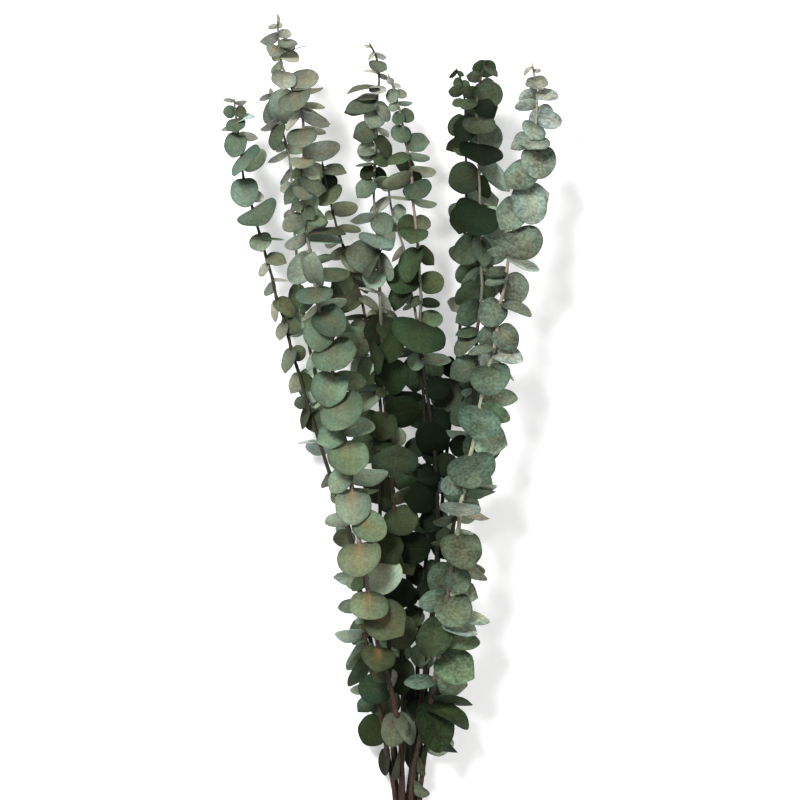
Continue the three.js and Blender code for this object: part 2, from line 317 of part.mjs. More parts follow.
    leaves: [
      [0.31, -79.2, 15.5, -11.4, 5.8, 6.2, 0.060, -0.009],
      [0.88, -15.7, 10.0, 37.5, 6.9, 4.8, -0.021, 0.004],
      [1.25, -100.5, 10.0, 19.2, 12.2, 10.5, 0.052, -0.020],
      [1.69, -20.6, 10.0, -26.2, 9.9, 8.5, 0.058, 0.027],
      [2.50, 1.4, 10.0, 72.3, 11.7, 10.0, 0.040, -0.007],
      [2.56, -151.2, 6.2, 16.7, 8.9, 8.0, 0.050, -0.016],
      [2.94, -100.3, 18.8, 14.1, 12.4, 10.2, -0.014, -0.012],
      [3.00, -29.7, 10.0, 6.1, 12.5, 10.7, -0.018, -0.004],
      [3.69, -98.9, 26.6, -11.4, 15.2, 16.3, -0.042, -0.026],
      [4.50, 2.8, 4.3, -17.6, 18.4, 16.0, 0.050, 0.000],
      [5.00, -10.3, -10.0, 69.0, 17.3, 14.9, 0.020, 0.020],
      [4.94, -147.8, 30.1, 46.7, 20.3, 15.6, 0.030, -0.024],
      [5.12, -120.2, -45.3, 8.2, 16.2, 17.0, 0.066, -0.012],
      [5.62, -2.5, 12.6, 62.4, 19.8, 16.5, 0.020, 0.056],
      [5.62, -54.6, -15.9, 22.0, 12.7, 10.7, 0.052, -0.001],
      [5.88, -163.8, 17.8, -47.8, 24.4, 17.5, 0.031, -0.019],
      [6.12, -55.8, 40.7, -11.4, 21.0, 22.6, 0.025, 0.051],
      [7.00, -9.5, 10.0, 73.6, 18.9, 16.2, 0.037, 0.042],
      [7.00, 172.5, -9.5, 80.0, 21.0, 19.1, 0.047, -0.021],
      [8.00, -142.6, -7.4, -20.6, 16.5, 14.7, -0.030, 0.044],
      [8.00, -31.0, -10.0, 20.6, 13.6, 12.2, 0.046, 0.050],
      [8.38, -107.0, 48.9, 11.4, 20.3, 21.8, 0.026, 0.043],
      [9.00, -46.7, -10.0, -42.6, 18.1, 15.6, 0.043, -0.027],
      [9.00, -107.4, 10.1, 49.2, 28.5, 24.6, 0.069, 0.048],
      [10.19, 11.7, 10.0, 0.0, 18.8, 17.6, 0.036, -0.029],
      [10.75, -142.9, -10.0, 33.2, 10.6, 9.1, 0.030, 0.015],
      [11.00, -3.0, -10.0, -48.5, 14.8, 12.7, 0.065, -0.005],
      [11.94, 5.9, -10.0, -27.0, 18.0, 15.5, 0.045, -0.026],
      [11.94, -97.0, 50.1, -11.4, 39.2, 42.1, 0.049, 0.016],
      [13.00, -7.9, 10.0, -59.4, 22.8, 19.6, -0.025, 0.055],
      [13.00, -142.4, -12.5, 11.4, 13.0, 14.1, 0.028, 0.045],
      [14.00, -16.3, -10.0, -0.0, 19.5, 18.4, 0.056, -0.011],
      [15.00, -6.3, -15.5, -11.4, 17.0, 18.8, 0.021, -0.013],
      [16.12, -27.3, -10.4, 21.5, 18.2, 19.8, 0.069, -0.025],
      [16.44, -149.0, 33.9, 11.6, 17.5, 18.8, 0.053, -0.007],
      [17.75, -158.3, -11.9, 5.6, 15.2, 17.0, 0.047, 0.015],
      [18.12, -67.2, -27.4, 9.9, 22.7, 17.2, 0.053, 0.052],
      [19.12, -139.4, 11.3, 11.5, 17.3, 17.3, 0.045, 0.047],
      [20.88, -142.8, -20.3, 11.4, 16.1, 17.3, 0.060, 0.035],
      [22.00, -137.3, -10.0, 0.0, 13.9, 12.4, -0.030, -0.025],
      [17.19, 179.2, 27.9, -3.8, 29.9, 24.7, 0.033, -0.010],
      [15.94, 103.1, 35.0, -5.0, 29.7, 24.7, -0.019, 0.047],
      [10.00, -180.0, -11.4, 21.5, 26.5, 26.3, 0.048, 0.049],
      [22.75, -96.5, -12.1, 53.5, 27.0, 27.3, -0.015, 0.018],
    ],
  },
  {
    name: 'leafy_stem_07',
    color: 0x2a3324,
    points: [[43.1, 255.7, 30.0], [46.2, 248.2, 29.0], [48.6, 238.9, 29.0], [50.1, 227.5, 28.0], [50.9, 208.2, 28.0], [50.9, 181.2, 28.0], [50.9, 146.6, 27.0], [49.4, 115.7, 27.0], [47.8, 77.1, 27.0], [43.9, 30.8, 28.0], [39.4, -11.6, 26.0], [34.8, -54.1, 24.0], [30.9, -100.6, 21.0], [27.9, -139.4, 18.0], [24.1, -182.4, 14.0], [19.4, -225.6, 9.0], [14.8, -268.9, 4.4], [9.4, -312.0, 3.0], [9.4, -351.0, 2.7], [9.4, -360.4, 2.7]],
    radii: [0.55, 0.76, 0.79, 0.83, 0.89, 0.97, 1.05, 1.13, 1.21, 1.31, 1.40, 1.49, 1.58, 1.65, 1.73, 1.81, 1.88, 1.96, 2.02, 2.04],
    leaves: [
      [0.25, -136.8, 10.0, -59.3, 8.6, 6.0, 0.047, 0.002],
      [0.38, -33.9, 10.0, 25.2, 6.1, 4.3, 0.033, -0.021],
      [1.00, -116.6, 10.0, -0.0, 8.7, 6.9, -0.041, 0.050],
      [1.38, -23.3, 10.0, -0.0, 7.5, 6.2, -0.017, -0.012],
      [2.06, -175.6, 18.0, -25.3, 12.3, 10.2, 0.064, 0.017],
      [2.81, -164.7, 10.0, 29.6, 10.3, 8.9, 0.046, -0.019],
      [3.56, -134.1, -9.6, 0.3, 17.6, 15.4, -0.036, -0.017],
      [4.25, -148.7, -10.0, -44.0, 18.4, 15.0, 0.033, -0.013],
      [5.00, -117.6, -10.0, -15.0, 18.6, 16.0, 0.041, -0.011],
      [6.00, -159.4, -35.0, -11.4, 16.1, 17.3, 0.034, 0.012],
      [7.00, -146.3, -40.5, -11.4, 14.6, 15.7, 0.032, -0.002],
      [8.00, -135.0, -41.8, -11.4, 14.6, 15.7, 0.040, 0.049],
      [9.06, -153.2, -26.6, -11.4, 16.1, 17.3, 0.025, 0.059],
      [10.06, 163.2, -47.8, 11.4, 17.6, 18.9, -0.021, -0.029],
      [11.00, -101.8, -10.0, 0.0, 19.2, 18.5, 0.031, 0.012],
      [12.62, -112.0, -15.2, -11.4, 16.2, 17.4, 0.036, 0.043],
      [14.06, -132.7, -41.1, -11.4, 16.2, 17.4, 0.048, 0.019],
      [9.38, -120.1, -0.1, 5.8, 25.9, 24.8, 0.035, 0.047],
      [5.94, 14.2, -10.0, -0.0, 26.6, 24.7, 0.056, -0.006],
      [3.44, 15.0, -10.0, 0.0, 26.3, 24.7, 0.043, 0.018],
      [5.94, -104.8, -10.0, 0.0, 21.6, 20.8, -0.039, -0.013],
      [15.00, -108.0, -8.4, 29.3, 26.9, 27.4, 0.060, 0.046],
      [12.19, 105.6, -10.0, -0.0, 26.9, 24.8, 0.037, 0.048],
      [9.69, 44.8, -13.0, -21.1, 26.9, 26.5, 0.032, -0.002],
    ],
  },
  {
    name: 'leafy_stem_08',
    color: 0x36463a,
    points: [[65.6, 259.5, 50.0], [62.6, 248.8, 50.0], [59.5, 236.6, 50.0], [58.8, 225.2, 50.0], [58.8, 209.9, 50.0], [59.5, 194.6, 50.0], [60.3, 174.1, 49.0], [61.1, 150.5, 48.0], [61.1, 125.3, 48.0], [61.9, 105.5, 47.0], [62.7, 84.1, 47.0], [60.4, 62.7, 46.0], [58.9, 52.0, 46.0], [58.1, 29.1, 45.0], [56.6, 5.4, 44.0], [54.4, -23.0, 42.0], [49.1, -53.7, 39.0], [43.0, -84.5, 36.0], [38.5, -115.4, 33.0], [34.7, -146.4, 30.0], [30.9, -181.3, 27.0], [27.0, -216.3, 24.0], [23.2, -247.6, 20.0], [18.6, -279.0, 17.0], [15.5, -310.4, 14.0], [17.1, -349.4, 13.0], [17.9, -377.4, 12.5]],
    radii: [0.55, 0.77, 0.81, 0.85, 0.89, 0.93, 0.99, 1.04, 1.10, 1.15, 1.19, 1.24, 1.26, 1.31, 1.36, 1.41, 1.47, 1.53, 1.59, 1.65, 1.71, 1.77, 1.82, 1.88, 1.93, 1.99, 2.04],
    leaves: [
      [0.19, -150.8, 10.0, -47.2, 11.8, 10.1, -0.025, 0.005],
      [0.38, -41.2, 10.0, -55.0, 13.9, 12.0, 0.026, 0.039],
      [1.25, 172.8, 10.0, -33.2, 11.7, 10.0, -0.020, 0.035],
      [1.50, -53.9, 0.8, 17.1, 17.1, 17.6, -0.024, -0.014],
      [2.12, 177.1, 10.0, -39.3, 13.8, 11.8, 0.056, 0.049],
      [2.69, -50.5, 15.8, -8.8, 18.5, 15.4, 0.043, 0.053],
      [2.75, -153.4, 10.0, 40.3, 14.0, 12.0, 0.055, 0.054],
      [3.62, -75.5, 47.8, -11.4, 23.2, 24.9, -0.013, 0.024],
      [3.69, -135.6, -10.0, 26.2, 23.7, 20.4, 0.045, 0.019],
      [4.94, -80.6, 51.5, -21.5, 30.4, 34.5, 0.038, 0.024],
      [5.19, 178.7, 10.0, -74.8, 20.3, 17.5, 0.067, 0.021],
      [5.62, -44.4, 10.0, 65.3, 34.0, 29.3, -0.023, -0.019],
      [6.00, -158.2, -10.0, -0.0, 25.1, 24.4, 0.053, 0.040],
      [6.12, -66.2, -10.0, 55.7, 18.9, 16.3, 0.065, -0.019],
      [7.00, -105.3, 38.4, -11.4, 33.3, 35.8, 0.042, 0.016],
      [8.06, -136.0, 12.6, -7.3, 27.2, 21.6, 0.047, 0.047],
      [8.00, -81.1, 16.7, -48.2, 25.8, 21.8, -0.030, 0.011],
      [8.94, -136.6, -11.2, -37.1, 24.6, 20.1, -0.015, 0.022],
      [9.00, -29.7, -13.5, -31.5, 12.7, 10.8, -0.036, -0.025],
      [9.25, -127.6, -10.0, -57.2, 24.6, 21.2, 0.030, -0.001],
      [9.88, -147.7, -10.3, -54.3, 24.0, 22.7, -0.031, -0.029],
      [9.88, -44.0, -10.0, 14.8, 12.9, 11.1, -0.023, 0.019],
      [10.50, -146.2, 10.9, -32.5, 24.3, 20.8, 0.058, -0.004],
      [11.88, -166.3, 10.0, 56.5, 17.7, 15.3, -0.026, 0.024],
      [12.06, -132.8, 10.0, 53.4, 23.9, 20.5, 0.042, 0.022],
      [13.00, -148.4, 10.0, -1.4, 23.7, 19.9, 0.068, 0.007],
      [13.94, -166.7, -10.0, -40.3, 10.5, 9.0, 0.064, 0.012],
      [14.00, -75.1, -41.9, -11.4, 16.0, 17.2, -0.027, -0.005],
      [14.38, -140.0, -10.0, 4.2, 21.4, 18.4, 0.062, 0.046],
      [15.12, 173.3, 10.0, -65.1, 19.1, 16.4, 0.045, 0.041],
      [15.25, -133.8, -26.0, -15.8, 19.2, 20.7, -0.041, -0.003],
      [16.25, -128.7, -3.4, 11.4, 19.7, 20.4, 0.064, -0.019],
      [17.19, -167.3, 16.6, -55.2, 17.8, 13.5, 0.032, 0.028],
      [17.56, -136.9, -1.0, 0.5, 15.2, 15.4, 0.060, 0.013],
      [18.50, -108.4, -1.7, 2.6, 18.1, 17.0, 0.069, 0.016],
      [19.69, -125.2, 11.4, -11.4, 18.5, 18.9, 0.040, 0.020],
      [21.00, -61.2, -14.6, -25.1, 18.2, 20.5, 0.066, -0.011],
      [5.31, 60.7, -10.0, 0.0, 26.5, 24.4, -0.015, 0.018],
      [8.75, 30.2, -44.4, -1.1, 29.2, 24.5, 0.036, 0.035],
      [12.50, -58.0, -16.2, 7.1, 27.0, 24.7, 0.028, -0.007],
      [16.56, -73.3, -17.2, 6.8, 27.0, 24.7, 0.035, 0.002],
      [0.00, -89.0, -50.5, -0.2, 19.1, 16.0, 0.062, -0.006],
      [20.94, -14.9, -10.0, 0.0, 26.5, 24.7, 0.070, -0.026],
      [22.50, -14.7, -10.4, 36.7, 22.0, 23.0, 0.050, 0.050],
      [2.81, 29.4, 14.9, 5.8, 21.8, 20.7, -0.024, 0.055],
      [9.38, -73.0, -45.0, -1.4, 29.3, 24.5, 0.051, 0.051],
      [16.19, -20.5, -6.9, -8.1, 25.9, 24.8, 0.061, -0.028],
      [7.44, -19.5, -10.0, -0.0, 26.3, 24.4, 0.035, 0.047],
    ],
  },
  {
    name: 'leafy_stem_09',
    color: 0x98a898,
    points: [[100.0, 256.1, 66.0], [102.3, 242.4, 66.0], [103.8, 227.3, 66.0], [103.0, 208.3, 66.0], [101.5, 191.7, 66.0], [97.7, 170.4, 66.0], [92.4, 150.0, 66.0], [85.6, 127.3, 66.0], [81.8, 104.5, 66.0], [79.5, 87.1, 66.0], [75.8, 72.0, 66.0], [73.5, 53.8, 66.0], [71.2, 37.9, 65.0], [66.7, 22.7, 65.0], [62.1, 3.0, 65.0], [59.1, -15.2, 65.0], [55.3, -34.1, 65.0], [51.5, -49.3, 65.0], [48.5, -65.9, 65.0], [46.2, -79.6, 65.0], [44.0, -100.0, 65.0], [39.4, -125.9, 64.0], [35.7, -149.5, 62.0], [32.7, -168.7, 59.0], [29.0, -195.2, 52.0], [26.0, -218.0, 45.0], [23.8, -231.6, 40.0], [19.2, -246.0, 34.0], [13.1, -271.8, 25.0], [10.4, -287.7, 21.0], [8.5, -306.7, 18.0], [10.1, -341.1, 16.5], [10.9, -373.0, 15.5]],
    radii: [0.55, 0.78, 0.83, 0.89, 0.94, 0.99, 1.04, 1.10, 1.15, 1.19, 1.22, 1.26, 1.29, 1.32, 1.36, 1.40, 1.44, 1.47, 1.50, 1.53, 1.57, 1.62, 1.66, 1.69, 1.74, 1.78, 1.80, 1.83, 1.87, 1.90, 1.93, 1.99, 2.04],
    leaves: [
      [0.25, -132.6, 10.0, 63.8, 10.0, 8.6, 0.056, 0.051],
      [0.50, -1.0, 10.0, -19.0, 5.7, 4.0, 0.067, -0.030],
      [0.81, -65.9, 37.1, -17.3, 15.1, 16.7, -0.041, -0.025],
      [1.19, -177.6, -10.0, -20.1, 8.1, 5.6, -0.040, 0.034],
      [1.69, -163.0, 8.0, -34.6, 14.9, 12.9, 0.062, -0.021],
      [1.75, -9.1, 10.0, -41.9, 16.6, 14.2, 0.027, 0.060],
      [2.19, -170.8, -10.0, -59.1, 17.2, 14.8, -0.028, -0.004],
      [2.31, -63.9, -39.3, -11.4, 20.1, 21.6, 0.066, -0.001],
      [2.62, -14.1, 10.0, 42.0, 20.2, 17.3, 0.066, -0.029],
      [2.94, -112.1, 40.1, -11.4, 18.7, 20.1, 0.050, 0.036],
      [3.44, -115.5, 54.3, 11.4, 25.2, 27.0, 0.025, -0.025],
      [4.00, -76.0, 11.4, -11.4, 25.5, 27.0, 0.057, 0.025],
      [4.62, -133.1, 21.5, 16.4, 28.7, 23.7, -0.019, -0.019],
      [5.38, -80.9, 16.8, -7.7, 32.0, 26.8, -0.014, -0.015],
      [6.00, -128.2, 10.0, 4.5, 27.4, 23.6, 0.047, 0.054],
      [6.94, -61.0, 31.0, -11.4, 30.2, 32.5, 0.037, 0.034],
      [7.75, -28.1, 10.0, -64.0, 26.1, 22.5, -0.013, -0.014],
      [7.75, 167.2, -10.0, 48.7, 17.4, 14.9, 0.046, 0.059],
      [8.56, -56.8, -24.4, 6.1, 25.3, 22.9, 0.040, 0.012],
      [8.69, -164.7, 10.0, 58.3, 16.8, 14.4, 0.038, -0.005],
      [8.38, -175.7, -10.0, 53.1, 17.6, 15.1, 0.027, -0.004],
      [9.94, -23.5, 10.0, -63.6, 25.8, 22.2, 0.062, 0.026],
      [9.88, -129.3, 10.0, -0.0, 22.5, 21.2, 0.038, 0.010],
      [10.94, -48.7, 10.0, -0.0, 21.9, 19.7, 0.068, 0.057],
      [10.94, -126.8, -32.8, -0.0, 21.9, 18.2, 0.060, 0.048],
      [11.88, -166.2, 6.6, 65.6, 20.8, 16.5, 0.055, 0.016],
      [12.12, -16.0, 10.0, -48.0, 23.7, 20.4, 0.030, 0.041],
      [12.75, -85.4, 36.5, 11.0, 28.8, 30.9, 0.053, 0.029],
      [12.69, -36.3, -10.0, -76.4, 22.9, 19.3, 0.053, 0.026],
      [13.94, -7.3, -10.0, 52.8, 27.7, 23.8, 0.031, 0.012],
      [14.44, -97.1, 34.4, -11.4, 30.9, 33.2, 0.038, 0.019],
      [14.50, -23.3, -10.6, 49.3, 25.2, 20.9, -0.040, -0.025],
      [15.44, -62.4, -26.5, -11.4, 29.5, 31.7, 0.033, 0.004],
      [16.44, -84.6, 41.4, 11.4, 34.5, 37.1, 0.044, 0.033],
      [17.81, -169.6, 10.1, 2.2, 19.0, 16.7, 0.054, 0.031],
      [17.88, -2.8, 10.0, 71.6, 25.1, 21.6, 0.050, 0.021],
      [18.12, -6.4, -10.0, 71.6, 25.1, 21.6, 0.045, 0.005],
      [18.88, -106.1, 71.4, 12.7, 28.8, 31.1, -0.032, 0.002],
      [18.94, -7.2, -10.0, 48.4, 14.6, 12.6, 0.051, 0.050],
      [19.31, -10.4, 10.0, 72.4, 23.3, 20.1, 0.038, -0.019],
      [20.06, -77.8, 37.1, -9.8, 33.7, 30.8, 0.034, 0.059],
      [19.94, -13.9, 10.0, 55.6, 12.5, 10.7, 0.060, 0.022],
      [20.38, 177.0, 10.0, 71.7, 20.0, 14.8, -0.021, 0.037],
      [20.75, -37.0, -4.9, 62.8, 30.9, 24.8, -0.021, 0.059],
      [21.00, -127.6, -17.0, -0.0, 26.0, 22.7, -0.038, 0.037],
      [21.12, -57.4, 10.0, -0.0, 21.0, 19.7, 0.031, 0.026],
      [21.69, -18.9, -10.0, 9.0, 24.1, 20.0, 0.035, -0.028],
      [22.00, -63.0, 28.4, -11.2, 26.6, 28.6, -0.025, -0.009],
      [22.00, -168.3, 10.0, -27.2, 22.8, 19.6, 0.054, -0.013],
      [22.69, -10.3, -8.4, -69.3, 35.7, 26.5, 0.057, -0.022],
      [23.00, -17.4, 9.6, -58.2, 28.3, 24.5, -0.019, 0.044],
      [22.94, -117.0, 10.0, 13.0, 31.0, 26.5, 0.062, -0.013],
      [23.50, -7.6, -14.0, -49.6, 31.3, 23.5, 0.056, 0.033],
      [24.00, -31.4, 10.0, -12.3, 32.7, 28.1, 0.035, 0.017],
      [24.81, -173.3, 10.0, 63.6, 24.0, 20.6, 0.036, 0.014],
      [24.88, -6.5, 10.0, 39.0, 13.7, 11.8, -0.025, 0.031],
      [26.00, -82.0, 10.0, -32.9, 39.3, 33.8, 0.069, 0.016],
      [25.88, -8.4, -10.0, 67.5, 32.6, 28.1, -0.024, -0.022],
      [26.31, -27.8, 19.6, -69.9, 35.2, 29.0, 0.063, 0.042],
      [27.56, -20.2, -6.6, 64.8, 31.2, 23.6, 0.038, -0.012],
      [28.19, -67.9, 10.0, 57.2, 16.6, 14.2, -0.021, 0.000],
      [29.50, -36.2, 10.0, 45.3, 16.6, 14.3, 0.067, 0.057],
      [15.62, -15.3, -10.0, 0.0, 26.4, 24.3, -0.023, 0.009],
      [3.44, -149.2, -10.0, 46.6, 21.8, 18.7, 0.046, -0.008],
      [20.94, -14.9, -9.9, 62.4, 26.1, 26.7, 0.041, 0.007],
      [5.94, 15.3, -21.1, -10.5, 23.1, 20.8, 0.049, 0.054],
    ],
  },
  {
    name: 'leafy_stem_10',
    color: 0x2c4030,
    points: [[-11.5, 175.0, 38.0], [-9.2, 165.0, 38.0], [-7.7, 153.5, 38.0], [-5.4, 142.0, 38.0], [-0.8, 128.2, 38.0], [3.8, 111.3, 38.0], [6.9, 89.8, 38.0], [10.7, 72.9, 37.0], [13.1, 57.6, 37.0], [14.6, 38.4, 36.0], [16.1, 21.5, 35.0], [18.5, -1.5, 34.0], [20.0, -33.9, 32.0], [22.3, -63.2, 30.0], [23.1, -80.9, 29.0], [22.4, -100.3, 27.0], [19.3, -131.4, 23.0], [16.3, -162.6, 19.0], [14.0, -193.8, 16.0], [13.2, -232.9, 13.0], [13.2, -272.1, 10.0], [12.4, -311.1, 9.0], [13.2, -350.2, 8.0], [13.2, -366.6, 7.6]],
    radii: [0.55, 0.77, 0.82, 0.86, 0.91, 0.96, 1.02, 1.07, 1.11, 1.16, 1.21, 1.26, 1.34, 1.41, 1.45, 1.49, 1.56, 1.63, 1.69, 1.77, 1.85, 1.93, 2.01, 2.04],
    leaves: [
      [0.88, -118.7, -54.8, -11.4, 10.2, 11.0, 0.052, -0.012],
      [1.88, -137.7, 0.7, 58.9, 20.4, 17.8, 0.025, 0.007],
      [2.94, 16.7, 24.1, -11.4, 11.6, 12.5, -0.028, 0.035],
      [3.00, -62.1, 11.4, 11.4, 15.1, 15.7, 0.048, -0.026],
      [4.62, -124.5, -10.0, -69.1, 15.0, 12.9, 0.037, -0.021],
      [5.88, -112.7, 10.0, 42.8, 27.2, 20.9, 0.043, 0.034],
      [6.31, -99.3, -9.8, 49.4, 12.3, 10.6, 0.059, 0.018],
      [6.94, -150.5, 0.1, 56.7, 9.6, 8.4, -0.032, 0.042],
      [7.88, -139.4, -10.0, 32.8, 21.2, 18.3, 0.045, -0.021],
      [9.00, -177.6, -10.6, -72.8, 30.1, 25.9, -0.019, 0.037],
      [9.25, -97.2, -20.6, -13.9, 31.0, 25.3, 0.055, 0.005],
      [9.38, -38.7, -10.0, 15.9, 22.3, 19.2, 0.035, 0.039],
      [11.00, -97.9, -42.6, 12.6, 30.6, 33.1, 0.034, 0.031],
      [10.94, -179.7, -14.7, -47.6, 30.1, 22.8, 0.056, -0.014],
      [12.00, -160.0, -10.0, 11.9, 18.3, 15.7, -0.020, 0.059],
      [12.06, -45.2, -5.8, -11.4, 16.1, 17.3, 0.022, 0.042],
      [13.00, -28.3, -21.2, 20.0, 14.0, 16.4, 0.050, 0.002],
      [13.44, -163.9, 10.0, -66.6, 22.5, 19.4, 0.063, -0.013],
      [14.75, -163.0, -9.5, 6.1, 14.3, 12.4, -0.016, 0.026],
      [16.00, -152.2, -22.2, -11.4, 17.9, 18.9, 0.023, 0.027],
      [17.00, -136.7, -10.0, 11.9, 18.4, 17.4, 0.043, 0.057],
      [18.00, -56.3, -7.7, 17.7, 16.9, 17.9, 0.056, -0.023],
      [18.81, -139.4, -31.1, 11.4, 13.3, 14.3, 0.023, -0.012],
    ],
  },
];

// ---------------------------------------------------------------- outlines
// Half outlines of a round leaf: [share of length, share of half width].
const OUTLINE_BIG = [[0, 0], [0.14, 0.68], [0.5, 1.0], [0.84, 0.74], [1.0, 0.14]];
const OUTLINE_MID = [[0, 0], [0.28, 0.88], [0.72, 0.95], [1.0, 0.16]];
const OUTLINE_BUD = [[0, 0], [0.48, 1.0], [1.0, 0.3]];
const rad = (deg) => deg * Math.PI / 180;

const wasm = await Module();
wasm.setup();

// A three.js geometry as a manifold solid.
function solid(geometry) {
  const g = geometry.clone();
  g.deleteAttribute('normal');
  g.deleteAttribute('uv');
  const m = mergeVertices(g, 1e-4);
  return new wasm.Manifold(new wasm.Mesh({
    numProp: 3,
    vertProperties: new Float32Array(m.attributes.position.array),
    triVerts: new Uint32Array(m.index.array),
  }));
}

// The tapered, gently zigzagging rod of one stem.
function rodGeometry(points, radii) {
  const curve = new THREE.CatmullRomCurve3(points, false, 'catmullrom', 0.5);
  const spans = points.length - 1;
  const rings = spans * SEGMENTS_PER_SPAN;
  const g = new THREE.CylinderGeometry(1, 1, 1, ROD_SIDES, rings, false);
  const pos = g.attributes.position;
  const centre = new THREE.Vector3();
  const tangent = new THREE.Vector3();
  const side = new THREE.Vector3();
  const up = new THREE.Vector3();
  for (let i = 0; i < pos.count; i++) {
    const t = Math.min(1, Math.max(0, 0.5 - pos.getY(i)));   // 0 at the tip, 1 at the cut end
    curve.getPoint(t, centre);
    curve.getTangent(t, tangent);
    side.set(0, 0, 1).cross(tangent).normalize();
    up.copy(tangent).cross(side).normalize();
    const f = t * spans;
    const k = Math.min(spans - 1, Math.floor(f));
    const r = radii[k] + (radii[k + 1] - radii[k]) * (f - k);
    const x = pos.getX(i) * r;
    const z = pos.getZ(i) * r;
    pos.setXYZ(i, centre.x + side.x * x + up.x * z, centre.y + side.y * x + up.y * z, centre.z + side.z * x + up.z * z);
  }
  return g;
}

// One leaf: a thin lens with the outline as its edge, thickest a third of the
// way out, arched along its length and cupped across it. It grows from the
// middle of the stem.
function leafGeometry(base, row) {
  const [, yaw, pitch, roll, length, width, arch, cup] = row;
  const half = length >= BIG_LEAF ? OUTLINE_BIG : length >= BUD_LEAF ? OUTLINE_MID : OUTLINE_BUD;
  const thick = length >= BUD_LEAF ? LEAF_THICKNESS : BUD_LEAF_THICKNESS;
  const outline = [[-LEAF_HEEL, -LEAF_BASE / 2]];
  for (let i = 1; i < half.length; i++) outline.push([half[i][0] * length, -half[i][1] * width / 2]);
  for (let i = half.length - 1; i > 0; i--) outline.push([half[i][0] * length, half[i][1] * width / 2]);
  outline.push([-LEAF_HEEL, LEAF_BASE / 2]);
  const sides = outline.length;
  const g = new THREE.SphereGeometry(1, sides, 2);
  const y = rad(yaw), p = rad(pitch), r = rad(roll);
  const d = new THREE.Vector3(Math.cos(p) * Math.cos(y), Math.cos(p) * Math.sin(y), Math.sin(p));
  const w0 = new THREE.Vector3(-Math.sin(y), Math.cos(y), 0);
  const n0 = new THREE.Vector3().crossVectors(d, w0);
  const w = w0.clone().multiplyScalar(Math.cos(r)).addScaledVector(n0, Math.sin(r));
  const n = new THREE.Vector3().crossVectors(d, w);
  const pos = g.attributes.position;
  for (let i = 0; i < pos.count; i++) {
    const row2 = Math.floor(i / (sides + 1));                // 0 top, 1 edge, 2 underside
    const [x, yy] = row2 === 1 ? outline[(i - (sides + 1)) % sides] : [THICKEST * length, 0];
    const a = Math.max(0, x / length);
    const c = yy / (width / 2);
    const h = arch * length * 4 * a * (1 - a) + cup * width * c * c * Math.min(1, Math.max(0, 4 * a * (1.15 - a)));
    const z = h + (row2 === 0 ? thick / 2 : row2 === 2 ? -thick / 2 : 0);
    pos.setXYZ(i, base.x + d.x * x + w.x * yy + n.x * z, base.y + d.y * x + w.y * yy + n.y * z, base.z + d.z * x + w.z * yy + n.z * z);
  }
  return g;
}

// ---------------------------------------------------------------- the bunch
const group = new THREE.Group();
group.name = 'dried_eucalyptus_bunch';
for (const stem of STEMS) {
  const points = stem.points.map(([x, y, z]) => new THREE.Vector3(x + OFFSET[0], y + OFFSET[1], z + OFFSET[2]));
  const curve = new THREE.CatmullRomCurve3(points, false, 'catmullrom', 0.5);
  const pieces = [solid(rodGeometry(points, stem.radii))];
  for (const row of stem.leaves) {
    pieces.push(solid(leafGeometry(curve.getPoint(row[0] / (points.length - 1)), row)));
  }
  const body = wasm.Manifold.union(pieces).simplify(0.02);
  const out = body.getMesh();
  const geometry = new THREE.BufferGeometry();
  geometry.setAttribute('position', new THREE.Float32BufferAttribute(out.vertProperties, 3));
  geometry.setIndex(new THREE.Uint32BufferAttribute(out.triVerts, 1));
  geometry.computeVertexNormals();
  const mesh = new THREE.Mesh(geometry, new THREE.MeshStandardMaterial({ color: stem.color, roughness: 0.62, metalness: 0 }));
  mesh.name = stem.name;
  mesh.material.name = stem.name;
  group.add(mesh);
}

export default group;
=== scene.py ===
"""A bunch of preserved round-leaf eucalyptus stems, lying on a pale surface.

Ten leafy stems. Each has a twig and two sets of leaves, all riding on the one
body. Lengths in the tables are millimetres; the scene is in metres.
"""
import math

import bpy
import numpy as np
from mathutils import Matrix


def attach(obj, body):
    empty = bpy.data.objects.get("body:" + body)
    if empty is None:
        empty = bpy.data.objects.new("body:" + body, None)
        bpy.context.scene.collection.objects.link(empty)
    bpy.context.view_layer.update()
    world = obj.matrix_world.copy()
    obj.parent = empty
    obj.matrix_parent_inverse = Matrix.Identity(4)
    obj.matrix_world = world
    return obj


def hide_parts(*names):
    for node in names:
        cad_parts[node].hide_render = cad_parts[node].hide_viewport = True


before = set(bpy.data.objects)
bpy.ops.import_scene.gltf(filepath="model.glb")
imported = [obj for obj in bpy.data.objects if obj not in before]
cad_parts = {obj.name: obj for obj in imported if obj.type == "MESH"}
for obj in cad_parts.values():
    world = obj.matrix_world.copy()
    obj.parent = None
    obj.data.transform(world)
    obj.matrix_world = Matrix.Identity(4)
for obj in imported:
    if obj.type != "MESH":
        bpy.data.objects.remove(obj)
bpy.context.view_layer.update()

# ------------------------------------------------------------------ tables
OFFSET = [7.234, 47.292, -1.049]
